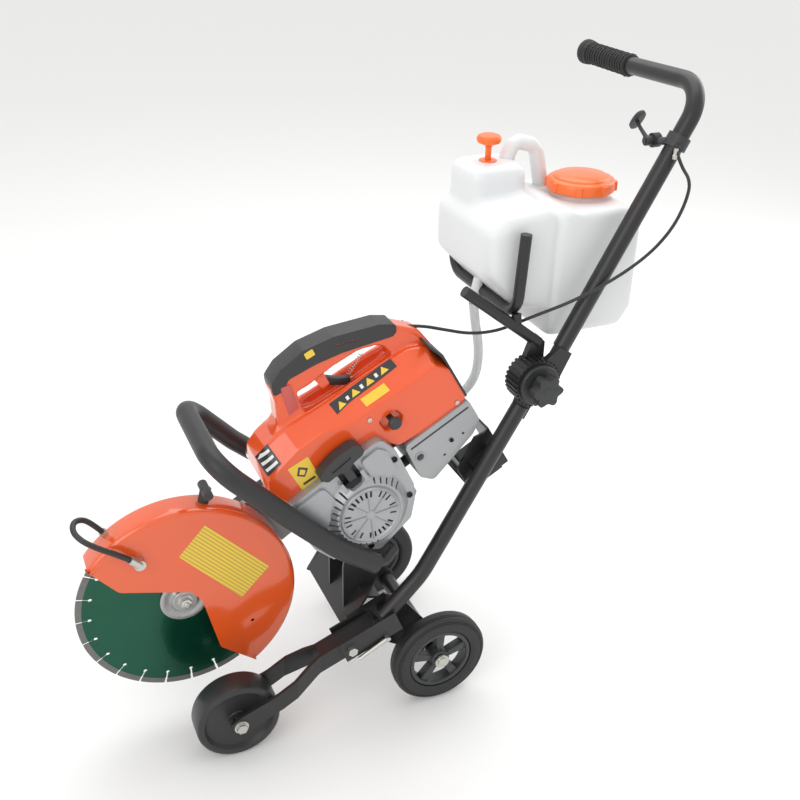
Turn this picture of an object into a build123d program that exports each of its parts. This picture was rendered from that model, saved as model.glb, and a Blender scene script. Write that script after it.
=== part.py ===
from build123d import *
import math
import os

# Cut-off rescue saw on a three-wheeled cart with a water tank.
# Millimetres, +Z up. The model is laid out from the blade's arbor: +X runs back
# along the machine, +Y to its right-hand side. It is moved at the end so that the
# origin is on the floor under the middle of the machine.

# ---- driving dimensions ---------------------------------------------------------
ARBOR_HEIGHT = 240.0       # arbor axis above the floor
SAW_TILT = 30.0            # the saw sits nose down on its cart
TRACK = 343.0              # over the outer faces of the rear wheels
CART_MIDDLE_Y = 22.0       # middle of the cart, to the right of the blade
SIDE_Y = -116.0            # plane of the front wheel, its arm and the handle
RUN_CLEARANCE = 0.05       # radial clearance of a shaft in its bore
FACE_GAP = 0.3             # gap between faces that turn on each other

# blade and guard
BLADE_RADIUS = 175.0
BLADE_THICKNESS = 2.8
SEGMENT_HEIGHT = 10.0
SEGMENT_THICKNESS = 3.4
SEGMENT_COUNT = 24
SLOT_DEPTH = 12.0
SLOT_WIDTH = 2.5
KEYHOLE_RADIUS = 3.2
ARBOR_RADIUS = 10.0
FLANGE_RADIUS = 40.0
FLANGE_THICKNESS = 9.0
GUARD_GAP = 8.0            # blade tip to guard rim
GUARD_WALL = 2.5
GUARD_WIDTH = 54.0
GUARD_HUB_RADIUS = 31.0
GUARD_HOLE_RADIUS = 3.0    # accessory hole in the guard's left wall

# belt drive
CRANK_X = 330.0            # crank axis from the arbor, along the saw
CRANK_Z = 9.0
BLADE_PULLEY_RADIUS = 44.0
CLUTCH_PULLEY_RADIUS = 24.0
BELT_THICKNESS = 4.0
BELT_WIDTH = 10.0
ARM_THICKNESS = 12.0
DRIVE_COVER_WALL = 2.5
BEARING_RADIUS = 21.0
CRANK_RADIUS = 9.0

# saw body
SAW_MIDDLE_Y = -33.0       # plane of the rear handle
BODY_WIDTH = 125.0
SHELL_WALL = 3.0
HANDLE_WIDTH = 36.0
LOOP_TUBE_RADIUS = 16.5
LOOP_LEFT_Y = -136.0
LOOP_RIGHT_Y = 70.0
STARTER_FACE_Y = -112.0
STARTER_BASE_Y = -70.0
STARTER_DOME_RADIUS = 52.0
FLYWHEEL_RADIUS = 60.0
CYLINDER_BORE = 24.0

# cart
WHEEL_RADIUS = 87.0
WHEEL_WIDTH = 32.6
HUB_RADIUS = 58.0
AXLE_RADIUS = 8.5
AXLE_X = 407.6
FRONT_WHEEL_RADIUS = 70.6
FRONT_WHEEL_WIDTH = 47.6
FRONT_BOLT_RADIUS = 6.0
FRONT_X = 46.0
RAIL_SLOPE = 21.5
PIVOT_X = 243.0
PIVOT_Z = -80.0
RAIL_WALL = 3.5
ARM_WIDTH = 34.0
ARM_HEIGHT = 32.0
PIVOT_RADIUS = 5.0

# handle, joint and tank
TUBE_RADIUS = 14.0
TUBE_WALL = 1.8
GRIP_RADIUS = 18.5
JOINT_X = 563.0
JOINT_Z = 356.0
JOINT_RADIUS = 40.0
JOINT_DISC = 12.0
JOINT_BOLT_RADIUS = 6.0
CRADLE_TUBE_RADIUS = 9.0
TANK_LEFT_Y = -84.0
TANK_DEPTH = 200.0
TANK_WALL = 3.0
CAP_RADIUS = 56.0
NECK_RADIUS = 46.0
CABLE_RADIUS = 2.6
WATER_HOSE_RADIUS = 8.0
GUARD_HOSE_RADIUS = 4.6

FLOOR_Z = -ARBOR_HEIGHT
AXLE_Z = FLOOR_Z + WHEEL_RADIUS
FRONT_Z = FLOOR_Z + FRONT_WHEEL_RADIUS
LEFT_WHEEL_Y = CART_MIDDLE_Y - TRACK / 2
RIGHT_WHEEL_Y = CART_MIDDLE_Y + TRACK / 2 - WHEEL_WIDTH
BODY_LEFT_Y = SAW_MIDDLE_Y - BODY_WIDTH / 2
BODY_RIGHT_Y = SAW_MIDDLE_Y + BODY_WIDTH / 2
GUARD_RADIUS = BLADE_RADIUS + GUARD_GAP + GUARD_WALL

nodes = {}
cord_nodes = {}


# ---- plain shapes ---------------------------------------------------------------
def rod_y(radius, y_low, y_high, x=0.0, z=0.0):
    """A round bar along Y."""
    length = y_high - y_low
    return Pos(x, y_low + length / 2, z) * Rotation(90, 0, 0) * Cylinder(radius, length)


def rod(start, end, radius):
    """A round bar from one point to another."""
    axis = Vector(*end) - Vector(*start)
    plane = Plane(origin=start, z_dir=axis)
    return extrude(plane * Circle(radius), axis.length)


def block(x_low, x_high, y_low, y_high, z_low, z_high):
    centre = ((x_low + x_high) / 2, (y_low + y_high) / 2, (z_low + z_high) / 2)
    return Pos(*centre) * Box(x_high - x_low, y_high - y_low, z_high - z_low)


def outline(*points):
    """A flat face through points given as (along X, up Z)."""
    return make_face(Polyline(*points, close=True))


def slab(face, y_low, y_high):
    """A side view thickened across the machine, from y_low to y_high."""
    return Pos(0, y_high, 0) * extrude(Plane.XZ * face, y_high - y_low)


def ring_y(outer, inner, y_low, y_high, x=0.0, z=0.0):
    return rod_y(outer, y_low, y_high, x, z) - rod_y(inner, y_low - 1, y_high + 1, x, z)


def hexagon_y(across_flats, y_low, y_high, x=0.0, z=0.0):
    face = Pos(x, z) * RegularPolygon(across_flats / 2, 6, major_radius=False)
    return slab(face, y_low, y_high)


def on_saw(shape):
    """From the saw's own level frame to its place on the cart."""
    return Rotation(0, -SAW_TILT, 0) * shape


def saw_point(x, y, z):
    """The same turn for one point."""
    turn = math.radians(SAW_TILT)
    return (x * math.cos(turn) - z * math.sin(turn), y, x * math.sin(turn) + z * math.cos(turn))


def bend_radii(points):
    """The largest arc that each corner's two runs leave room for."""
    radii = []
    for before, corner, after in zip(points, points[1:], points[2:]):
        first = Vector(*corner) - Vector(*before)
        second = Vector(*after) - Vector(*corner)
        half_turn = math.radians(first.get_angle(second)) / 2
        radii.append(0.45 * min(first.length, second.length) / math.tan(half_turn))
    return radii


def cord(name, points, radius):
    """A free cord: straight runs and the largest arcs that join them."""
    radii = bend_radii(points)
    path = FilletPolyline(*points, radius=radii)
    tube = sweep(Plane(origin=path @ 0, z_dir=path % 0) * Circle(radius), path=path)
    ratio = tube.volume / (math.pi * radius**2 * path.length)
    print(name, "length", round(path.length, 1), "volume ratio", round(ratio, 4),
          "radii", [round(r) for r in radii])
    return tube


def pipe(points, radii, radius, wall=None):
    """A bent metal tube, solid where no wall is given."""
    path = FilletPolyline(*points, radius=radii)
    start = Plane(origin=path @ 0, z_dir=path % 0)
    tube = sweep(start * Circle(radius), path=path)
    if wall:
        tube -= sweep(start * Circle(radius - wall), path=path)
    return tube


def belt_face(front_radius, rear_radius):
    """Side view of a loop round the arbor and the crank axis."""
    span = math.hypot(CRANK_X, CRANK_Z)
    lean = math.degrees(math.atan2(CRANK_Z, CRANK_X))
    spread = math.degrees(math.acos((front_radius - rear_radius) / span))
    corners = []
    for angle in (lean + spread, lean - spread):
        turn = math.radians(angle)
        corners.append((front_radius * math.cos(turn), front_radius * math.sin(turn)))
        corners.append((CRANK_X + rear_radius * math.cos(turn), CRANK_Z + rear_radius * math.sin(turn)))
    web = outline(corners[0], corners[1], corners[3], corners[2])
    return Circle(front_radius) + Pos(CRANK_X, CRANK_Z) * Circle(rear_radius) + web


# ---- blade ----------------------------------------------------------------------
CORE_RADIUS = BLADE_RADIUS - SEGMENT_HEIGHT
slots = Sketch() + [
    Rot(0, 0, step * 360 / SEGMENT_COUNT) * Pos(CORE_RADIUS - SLOT_DEPTH / 2, 0)
    * Rectangle(SLOT_DEPTH + 2, SLOT_WIDTH)
    for step in range(SEGMENT_COUNT)
]
keyholes = Sketch() + [
    Rot(0, 0, step * 360 / SEGMENT_COUNT) * Pos(CORE_RADIUS - SLOT_DEPTH, 0)
    * Circle(KEYHOLE_RADIUS)
    for step in range(SEGMENT_COUNT)
]
core_face = Circle(CORE_RADIUS) - Circle(ARBOR_RADIUS) - slots - keyholes
nodes["blade_core"] = on_saw(slab(core_face, -BLADE_THICKNESS / 2, BLADE_THICKNESS / 2))

gaps = Sketch() + [
    Rot(0, 0, step * 360 / SEGMENT_COUNT) * Pos(BLADE_RADIUS - SEGMENT_HEIGHT / 2, 0)
    * Rectangle(SEGMENT_HEIGHT + 4, SLOT_WIDTH + 1.5)
    for step in range(SEGMENT_COUNT)
]
segment_face = Circle(BLADE_RADIUS) - Circle(CORE_RADIUS) - gaps
nodes["blade_segments"] = on_saw(slab(segment_face, -SEGMENT_THICKNESS / 2, SEGMENT_THICKNESS / 2))

# Clamp flanges: dished discs on both sides of the blade.
def flange(side):
    """side is -1 for the outer flange, on the left of the blade, and 1 for the inner."""
    near = BLADE_THICKNESS / 2
    profile = make_face(Polyline(
        (ARBOR_RADIUS, near), (16, near + 1.5), (26, near + 1.5), (30, near),
        (FLANGE_RADIUS, near), (FLANGE_RADIUS, near + 3), (30, near + 4),
        (22, near + FLANGE_THICKNESS), (ARBOR_RADIUS, near + FLANGE_THICKNESS), close=True))
    disc = revolve(Plane.XY * profile, Axis.Y)
    return disc if side > 0 else mirror(disc, about=Plane.XZ)


nodes["blade_flanges"] = flange(-1) + flange(1)

FLANGE_END = BLADE_THICKNESS / 2 + FLANGE_THICKNESS
BOLT_SHANK_RADIUS = 5.0
washer = ring_y(13, BOLT_SHANK_RADIUS, -FLANGE_END - 2, -FLANGE_END)
bolt_head = hexagon_y(17, -FLANGE_END - 9, -FLANGE_END - 2)
shank = rod_y(BOLT_SHANK_RADIUS, -FLANGE_END - 2, 16)
nodes["blade_bolt"] = on_saw(washer + bolt_head + shank)

ARM_LEFT_Y = GUARD_WIDTH / 2 + 3
ARM_RIGHT_Y = ARM_LEFT_Y + ARM_THICKNESS
HUB_LEFT_Y = GUARD_WIDTH / 2 - GUARD_WALL - 2
PULLEY_LEFT_Y = ARM_RIGHT_Y + 2
PULLEY_RIGHT_Y = PULLEY_LEFT_Y + BELT_WIDTH + 4
COLLAR_RADIUS = 14.0
shaft = rod_y(ARBOR_RADIUS, -FLANGE_END, PULLEY_RIGHT_Y + 2)
shaft += rod_y(COLLAR_RADIUS, FLANGE_END, HUB_LEFT_Y - FACE_GAP)
shaft -= rod_y(BOLT_SHANK_RADIUS, -FLANGE_END - 1, 16)
nodes["arbor_shaft"] = on_saw(shaft)


def pulley(radius, bore, x=0.0, z=0.0):
    """A flat-belt pulley with two shoulders."""
    shoulder = radius + 2.0
    body = rod_y(radius, PULLEY_LEFT_Y, PULLEY_RIGHT_Y, x, z)
    body += rod_y(shoulder, PULLEY_LEFT_Y, PULLEY_LEFT_Y + 1.5, x, z)
    body += rod_y(shoulder, PULLEY_RIGHT_Y - 1.5, PULLEY_RIGHT_Y, x, z)
    return body - rod_y(bore, PULLEY_LEFT_Y - 1, PULLEY_RIGHT_Y + 1, x, z)


nodes["blade_pulley"] = on_saw(pulley(BLADE_PULLEY_RADIUS, ARBOR_RADIUS))

# ---- blade guard ----------------------------------------------------------------
# Cut-out of each side wall, from the nose round under the arbor to the rear tip.
left_open = outline((-98, 218), (-60, 105), (22, 20), (24, -8), (-8, -112), (24, -235),
                    (-300, -235), (-300, 218))
right_open = outline((-98, 218), (-60, 100), (-50, 0), (-40, -60), (-8, -112), (24, -235),
                     (-300, -235), (-300, 218))
half_guard = GUARD_WIDTH / 2
HOLE_X, HOLE_Z = 62.0, -106.0
left_wall = slab(Circle(GUARD_RADIUS) - left_open - Pos(HOLE_X, HOLE_Z) * Circle(GUARD_HOLE_RADIUS),
                 -half_guard, -half_guard + GUARD_WALL)
hub_hole = Circle(GUARD_HUB_RADIUS + RUN_CLEARANCE)
right_wall = slab(Circle(GUARD_RADIUS) - right_open - hub_hole, half_guard - GUARD_WALL, half_guard)
rim = slab(Circle(GUARD_RADIUS) - Circle(GUARD_RADIUS - GUARD_WALL) - left_open, -half_guard, half_guard)
nodes["blade_guard"] = on_saw(left_wall + right_wall + rim)

KNOB_ANGLE = 46.0


def at_rim(angle, radius):
    return (radius * math.cos(math.radians(angle)), radius * math.sin(math.radians(angle)))


foot_x, foot_z = at_rim(KNOB_ANGLE, GUARD_RADIUS)
top_x, top_z = at_rim(KNOB_ANGLE, GUARD_RADIUS + 24)
knob_foot = rod((foot_x, 0, foot_z), (top_x, 0, top_z), 9)
knob_bar = rod_y(8, -20, 20, *at_rim(KNOB_ANGLE, GUARD_RADIUS + 20))
nodes["guard_handle"] = on_saw(knob_foot + knob_bar) - on_saw(rod_y(GUARD_RADIUS, -30, 30))

# Water elbow on the guard's left wall, and the hose that crosses over the nose.
ELBOW = (-69.0, -half_guard, 113.0)
guard_hose_route = [
    (-84, -40, 129), (-104, -43, 147), (-127, -44, 164), (-148, -37, 178), (-159, -20, 187),
    (-155, -2, 193), (-140, 8, 188), (-126, 11, 173), (-114, 11, 156.5),
]
elbow_body = rod(ELBOW, (ELBOW[0], ELBOW[1] - 14, ELBOW[2]), 9)
elbow_arm = rod((ELBOW[0], ELBOW[1] - 11, ELBOW[2]), guard_hose_route[0], 7)
inlet = rod((-106, 11, 146), guard_hose_route[-1], 7) - on_saw(rod_y(GUARD_RADIUS, -30, 30))
hose_ends = rod(guard_hose_route[0], guard_hose_route[1], GUARD_HOSE_RADIUS + FACE_GAP)
hose_ends += rod(guard_hose_route[-1], guard_hose_route[-2], GUARD_HOSE_RADIUS + FACE_GAP)
nodes["guard_fittings"] = Compound(children=[elbow_body + elbow_arm - hose_ends, inlet - hose_ends])
cord_nodes["guard_hose"] = cord("guard_hose", guard_hose_route, GUARD_HOSE_RADIUS)

# ---- belt arm and drive ---------------------------------------------------------
arm = slab(belt_face(60, 50), ARM_LEFT_Y, ARM_RIGHT_Y)
arm += rod_y(GUARD_HUB_RADIUS, HUB_LEFT_Y, ARM_LEFT_Y)
arm -= rod_y(BEARING_RADIUS, HUB_LEFT_Y - 1, ARM_RIGHT_Y + 1)
arm -= rod_y(BEARING_RADIUS, ARM_LEFT_Y - 1, ARM_RIGHT_Y + 1, CRANK_X, CRANK_Z)
nodes["belt_arm"] = on_saw(arm)

CASE_LEFT_Y = -66.0
bearings = [
    ring_y(BEARING_RADIUS, ARBOR_RADIUS + RUN_CLEARANCE, HUB_LEFT_Y, HUB_LEFT_Y + 7),
    ring_y(BEARING_RADIUS, ARBOR_RADIUS + RUN_CLEARANCE, ARM_RIGHT_Y - 7, ARM_RIGHT_Y),
    ring_y(BEARING_RADIUS, CRANK_RADIUS + RUN_CLEARANCE, ARM_RIGHT_Y - 9, ARM_RIGHT_Y, CRANK_X, CRANK_Z),
    ring_y(BEARING_RADIUS, CRANK_RADIUS + RUN_CLEARANCE, CASE_LEFT_Y, CASE_LEFT_Y + 9, CRANK_X, CRANK_Z),
]
nodes["bearings"] = on_saw(Compound(children=bearings))

nodes["clutch_pulley"] = on_saw(pulley(CLUTCH_PULLEY_RADIUS, CRANK_RADIUS + RUN_CLEARANCE, CRANK_X, CRANK_Z)
                                + ring_y(37, 34, PULLEY_RIGHT_Y, PULLEY_RIGHT_Y + 2.5, CRANK_X, CRANK_Z)
                                + ring_y(37, CRANK_RADIUS + RUN_CLEARANCE, PULLEY_RIGHT_Y - 2,
                                         PULLEY_RIGHT_Y, CRANK_X, CRANK_Z))
belt_inside = 0.5
belt_ring = belt_face(BLADE_PULLEY_RADIUS + belt_inside + BELT_THICKNESS,
                      CLUTCH_PULLEY_RADIUS + belt_inside + BELT_THICKNESS)
belt_ring -= belt_face(BLADE_PULLEY_RADIUS + belt_inside, CLUTCH_PULLEY_RADIUS + belt_inside)
nodes["drive_belt"] = on_saw(slab(belt_ring, PULLEY_LEFT_Y + 2, PULLEY_LEFT_Y + 2 + BELT_WIDTH))

COVER_RIGHT_Y = PULLEY_RIGHT_Y + 6
drive_cover = slab(belt_face(58, 48), ARM_RIGHT_Y, COVER_RIGHT_Y)
drive_cover -= slab(belt_face(58 - DRIVE_COVER_WALL, 48 - DRIVE_COVER_WALL), ARM_RIGHT_Y - 1,
                    COVER_RIGHT_Y - DRIVE_COVER_WALL)
nodes["drive_cover"] = on_saw(drive_cover)

# ---- engine ---------------------------------------------------------------------
CASE_TOP = 66.0
CASE_BOTTOM = -82.0
case_face = outline((222, -30), (236, CASE_BOTTOM + 10), (262, CASE_BOTTOM), (392, CASE_BOTTOM),
                    (414, CASE_BOTTOM + 22), (418, 30), (404, CASE_TOP), (240, CASE_TOP), (222, 40))
case = slab(case_face, CASE_LEFT_Y, ARM_LEFT_Y)
case -= rod_y(46, -44, 8, CRANK_X, CRANK_Z)
case -= rod_y(BEARING_RADIUS, CASE_LEFT_Y - 1, CASE_LEFT_Y + 9, CRANK_X, CRANK_Z)
case -= rod_y(CRANK_RADIUS + 1, CASE_LEFT_Y, ARM_LEFT_Y + 1, CRANK_X, CRANK_Z)
BORE_Y = -18.0
case -= Pos(CRANK_X, BORE_Y, CASE_TOP - 15) * Cylinder(CYLINDER_BORE, 60)
nodes["crankcase"] = on_saw(case)

crank = rod_y(CRANK_RADIUS, CASE_LEFT_Y - 44, PULLEY_RIGHT_Y + 2, CRANK_X, CRANK_Z)
for web_y in (-40, -8):
    crank += rod_y(42, web_y, web_y + 12, CRANK_X, CRANK_Z)
nodes["crankshaft"] = on_saw(crank)

HEAD_TOP = CASE_TOP + 95.5
cylinder = Pos(CRANK_X, BORE_Y, CASE_TOP + 47.75) * Cylinder(32, 95.5)
for fin in range(9):
    cylinder += Pos(CRANK_X, BORE_Y, CASE_TOP + 14 + fin * 10) * Box(92, 84, 3)
cylinder += Pos(CRANK_X, BORE_Y, CASE_TOP + 2) * Box(72, 64, 4)
cylinder -= Pos(CRANK_X, BORE_Y, CASE_TOP + 38) * Cylinder(CYLINDER_BORE, 84)
nodes["cylinder"] = on_saw(cylinder)

plug = Pos(CRANK_X, BORE_Y, HEAD_TOP + 5) * Cylinder(9, 10)
plug += Pos(CRANK_X, BORE_Y, HEAD_TOP + 13) * Cylinder(5, 8)
nodes["spark_plug"] = on_saw(plug)

muffler = slab(outline((242, CASE_TOP), (284, CASE_TOP), (284, 148), (240, 142)), -58, 22)
nodes["muffler"] = on_saw(muffler)
nodes["carburettor"] = on_saw(block(376, 419, -42, 6, 92, 134)
                              - Pos(398, BORE_Y, 112) * Rotation(0, 90, 0) * Cylinder(12, 60))

# Starter side: flywheel, rope pulley, cover and pull handle.
FLYWHEEL_LEFT_Y = -94.0
flywheel = ring_y(FLYWHEEL_RADIUS, CRANK_RADIUS, FLYWHEEL_LEFT_Y + 8, -74, CRANK_X, CRANK_Z)
for vane in range(16):
    angle = math.radians(vane * 360 / 16)
    arm_mid = 46
    flywheel += (Pos(CRANK_X + arm_mid * math.cos(angle), FLYWHEEL_LEFT_Y + 5, CRANK_Z + arm_mid * math.sin(angle))
                 * Rotation(0, -math.degrees(angle) + 25, 0) * Box(24, 10, 2.5))
nodes["flywheel"] = on_saw(flywheel)

ROPE_PULLEY_RADIUS = 36.0
STARTER_POST_RADIUS = 7.0
DOME_LEFT_Y = -129.0
rope_pulley = rod_y(ROPE_PULLEY_RADIUS, -123, -121.5, CRANK_X, CRANK_Z)
rope_pulley += rod_y(ROPE_PULLEY_RADIUS, -113.5, -112, CRANK_X, CRANK_Z)
rope_pulley += rod_y(24, -123, -112, CRANK_X, CRANK_Z)
rope_pulley -= rod_y(STARTER_POST_RADIUS + RUN_CLEARANCE, -130, -100, CRANK_X, CRANK_Z)
nodes["starter_pulley"] = on_saw(rope_pulley)
nodes["starter_rope"] = on_saw(ring_y(34, 24, -121.5, -113.5, CRANK_X, CRANK_Z))

starter_face = outline((240, 106), (412, 108), (421, 70), (415, -4), (401, -32), (378, -60),
                       (309, -74), (262, -50), (240, 20))
starter_inner = offset(starter_face, -SHELL_WALL)
starter_cover = slab(starter_face, STARTER_FACE_Y, STARTER_BASE_Y)
starter_cover += rod_y(STARTER_DOME_RADIUS, DOME_LEFT_Y, STARTER_FACE_Y + 1, CRANK_X, CRANK_Z)
starter_cover -= slab(starter_inner, STARTER_FACE_Y + SHELL_WALL, STARTER_BASE_Y + 1)
starter_cover -= rod_y(STARTER_DOME_RADIUS - SHELL_WALL, DOME_LEFT_Y + SHELL_WALL, STARTER_BASE_Y,
                       CRANK_X, CRANK_Z)
starter_cover += rod_y(STARTER_POST_RADIUS, DOME_LEFT_Y + 1, -111.7, CRANK_X, CRANK_Z)
rope_gate = block(322, 358, STARTER_FACE_Y - 10, -84, 66, 112)
starter_cover -= rope_gate
for vent in range(20):
    angle = math.radians(vent * 360 / 20)
    starter_cover -= (Pos(CRANK_X + 42 * math.cos(angle), DOME_LEFT_Y, CRANK_Z + 42 * math.sin(angle))
                      * Rotation(0, -math.degrees(angle), 0) * Box(12, 12, 4.5))
nodes["starter_cover"] = on_saw(starter_cover)

pull = block(299, 379, -124, -98, 113, 128)
pull += block(332, 348, -108, -95.5, 74, 114)
nodes["starter_handle"] = on_saw(pull)

# ---- saw covers and handles -----------------------------------------------------
body_face = outline((230, 110), (208, 150), (215, 196), (262, 212), (318, 226), (352, 215),
                    (368, 172), (500, 164), (520, 184), (550, 188), (566, 152), (566, 60),
                    (434, 60), (427, 110))
body_inner = offset(body_face, -SHELL_WALL)
shell = slab(body_face, BODY_LEFT_Y, BODY_RIGHT_Y)
shell -= slab(body_inner, BODY_LEFT_Y + SHELL_WALL, BODY_RIGHT_Y - SHELL_WALL)
shell -= block(236, 424, BODY_LEFT_Y + SHELL_WALL, BODY_RIGHT_Y - SHELL_WALL, 100, 125)
handle_left = SAW_MIDDLE_Y - HANDLE_WIDTH / 2
handle_right = SAW_MIDDLE_Y + HANDLE_WIDTH / 2
handle_face = outline((312, 218), (322, 245), (356, 252), (397, 246), (440, 236), (518, 208),
                      (552, 190), (548, 180), (520, 176), (506, 192), (488, 208), (410, 218),
                      (372, 220), (358, 212), (350, 206))
shell += slab(handle_face, handle_left, handle_right)
nodes["top_cover"] = on_saw(shell)

grip_face = outline((322, 246), (326, 262), (350, 272), (394, 277), (443, 266), (512, 236),
                    (530, 220), (518, 208.5), (440, 236.5), (397, 246.5), (356, 252.5))
nodes["rear_grip"] = on_saw(slab(grip_face, handle_left - 1, handle_right + 1))

TRIGGER_X, TRIGGER_Z = 392.0, 206.0
TRIGGER_PIN_RADIUS = 3.0
trigger_face = outline((386, 212), (398, 212), (428, 186), (430, 178), (422, 176), (392, 200))
trigger = slab(trigger_face, SAW_MIDDLE_Y - 5, SAW_MIDDLE_Y + 5)
trigger -= rod_y(TRIGGER_PIN_RADIUS + RUN_CLEARANCE, -60, 0, TRIGGER_X, TRIGGER_Z)
nodes["throttle_trigger"] = on_saw(trigger)
trigger_pin = rod_y(TRIGGER_PIN_RADIUS, SAW_MIDDLE_Y - 12, SAW_MIDDLE_Y + 12, TRIGGER_X, TRIGGER_Z)
for side in (-1, 1):
    cheek_y = SAW_MIDDLE_Y + side * 9
    trigger_pin += slab(outline((384, 219), (400, 219), (398, 200), (386, 200)), cheek_y - 2, cheek_y + 2)
nodes["top_cover"] += on_saw(trigger_pin)
SPRING_LOW = (432.5, SAW_MIDDLE_Y, 188.0)
SPRING_TOP = (466.0, SAW_MIDDLE_Y, 205.5)
nodes["trigger_spring"] = on_saw(rod(SPRING_LOW, SPRING_TOP, 4) - rod(SPRING_LOW, SPRING_TOP, 2.8))

choke = rod_y(5, BODY_LEFT_Y - 10, BODY_LEFT_Y + 10, 444, 112)
choke += block(432, 456, BODY_LEFT_Y - 16, BODY_LEFT_Y - 8, 104, 120)
nodes["choke_knob"] = on_saw(choke)
top_hole = on_saw(rod_y(5 + RUN_CLEARANCE, BODY_LEFT_Y - 5, BODY_LEFT_Y + 8, 444, 112))
nodes["top_cover"] -= top_hole

REAR_LEFT_Y = BODY_LEFT_Y - 4
REAR_RIGHT_Y = BODY_RIGHT_Y + 4
tank_face = outline((436, 57), (562, 57), (562, 10), (540, -5), (446, -34), (430, -12))
tank_inner = offset(tank_face, -SHELL_WALL)
SCREW_HOLE_RADIUS = 2.1
SCREW_HOLE_DEPTH = 10.0
FUEL_X, FUEL_Z = 498.0, 22.0
fuel_tank = slab(tank_face, REAR_LEFT_Y, REAR_RIGHT_Y)
fuel_tank -= slab(tank_inner, REAR_LEFT_Y + SHELL_WALL, REAR_RIGHT_Y - SHELL_WALL)
fuel_tank -= rod_y(17, REAR_RIGHT_Y - 6, REAR_RIGHT_Y + 1, FUEL_X, FUEL_Z)
HOLE_SPACING = 44.0
for hole_x in (-HOLE_SPACING / 2, HOLE_SPACING / 2):
    hole_at = (505 + hole_x, 2 + hole_x * 0.3)
    fuel_tank += rod_y(6, REAR_LEFT_Y + 1, REAR_LEFT_Y + SCREW_HOLE_DEPTH + 3, *hole_at)
    fuel_tank -= rod_y(SCREW_HOLE_RADIUS, REAR_LEFT_Y - 1, REAR_LEFT_Y + SCREW_HOLE_DEPTH, *hole_at)
nodes["fuel_tank"] = on_saw(fuel_tank)
fuel_cap = rod_y(17 - RUN_CLEARANCE, REAR_RIGHT_Y - SHELL_WALL, REAR_RIGHT_Y, FUEL_X, FUEL_Z)
fuel_cap += rod_y(23, REAR_RIGHT_Y + FACE_GAP, REAR_RIGHT_Y + 10, FUEL_X, FUEL_Z)
fuel_cap += rod_y(17 - RUN_CLEARANCE, REAR_RIGHT_Y - 1, REAR_RIGHT_Y + 1, FUEL_X, FUEL_Z)
fuel_cap += block(FUEL_X - 20, FUEL_X + 20, REAR_RIGHT_Y + 9, REAR_RIGHT_Y + 16, FUEL_Z - 3, FUEL_Z + 3)
nodes["fuel_cap"] = on_saw(fuel_cap)

mounts = [
    Pos(424.5, mount_y, mount_z) * Rotation(0, 90, 0) * Cylinder(9, 13)
    for mount_y, mount_z in ((-50, -6), (10, -6))
]
nodes["vibration_mounts"] = on_saw(Compound(children=mounts)) - nodes["fuel_tank"]

LOOP_TOP = 262.0
LOOP_FOOT_Y = LOOP_RIGHT_Y + 12
loop_points = [
    (290, LOOP_LEFT_Y, -72), (256, LOOP_LEFT_Y, 8), (229, LOOP_LEFT_Y, 112), (194, LOOP_LEFT_Y, LOOP_TOP),
    (194, LOOP_RIGHT_Y, LOOP_TOP), (220, LOOP_RIGHT_Y, 150), (250, LOOP_FOOT_Y, 50),
    (290, LOOP_FOOT_Y, -72),
]
loop_bends = [150, 200, 46, 46, 120, 120]
stay_face = outline((262, -88), (306, -88), (306, -60), (262, -60))
stays = slab(stay_face, LOOP_LEFT_Y + 4, CASE_LEFT_Y)
stays -= slab(offset(starter_face, 1), DOME_LEFT_Y, CASE_LEFT_Y + 1)
stays += slab(stay_face, ARM_LEFT_Y, LOOP_FOOT_Y - 4)
stays -= slab(belt_face(59, 49), ARM_LEFT_Y - 1, COVER_RIGHT_Y + 1)
loop = pipe(loop_points, loop_bends, LOOP_TUBE_RADIUS) + stays
nodes["front_handle"] = on_saw(loop - pipe(loop_points, loop_bends, LOOP_TUBE_RADIUS - 4))

screws = []
for x, z in ((256, 58), (410, 60), (398, -18), (301, -56)):
    screws.append(rod_y(5.5, STARTER_FACE_Y - 3, STARTER_FACE_Y, x, z))
for x, z in ((446, 42), (552, 42)):
    screws.append(rod_y(5, REAR_LEFT_Y - 3, REAR_LEFT_Y, x, z))
screws.append(rod_y(5, BODY_LEFT_Y - 3, BODY_LEFT_Y, 548, 84))
nodes["cover_screws"] = on_saw(Compound(children=screws))

# ---- cart -----------------------------------------------------------------------
RAIL_HALF = ARM_WIDTH / 2 + 3.5
RAIL_OUT = RAIL_HALF + RAIL_WALL
RAIL_LEFT_Y = SIDE_Y - RAIL_OUT
RAIL_RIGHT_Y = SIDE_Y + RAIL_OUT


def on_rail(shape):
    """From the side rail's frame, with X back along it from the arm's pivot."""
    return Pos(PIVOT_X, 0, PIVOT_Z) * Rotation(0, -RAIL_SLOPE, 0) * shape


RAIL_FRONT, RAIL_REAR = -16.0, 92.0
RAIL_BOTTOM = -ARM_HEIGHT / 2 - 0.5
LOCK_X, LOCK_Z = 61.5, -15.6
LOCK_RADIUS = 4.0
rail = block(RAIL_FRONT, RAIL_REAR, RAIL_LEFT_Y, RAIL_RIGHT_Y, RAIL_BOTTOM - RAIL_WALL, ARM_HEIGHT / 2 + 6)
rail -= block(RAIL_FRONT - 1, RAIL_REAR + 1, SIDE_Y - RAIL_HALF, SIDE_Y + RAIL_HALF, -50, 50)
rail += block(20, 54, SIDE_Y - RAIL_HALF, SIDE_Y + RAIL_HALF, RAIL_BOTTOM - RAIL_WALL, RAIL_BOTTOM)
rail += block(72, RAIL_REAR, SIDE_Y - RAIL_HALF, SIDE_Y + RAIL_HALF, RAIL_BOTTOM, 8)
rail -= rod_y(LOCK_RADIUS + RUN_CLEARANCE, RAIL_LEFT_Y - 1, RAIL_RIGHT_Y + 1, LOCK_X, LOCK_Z)
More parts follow.
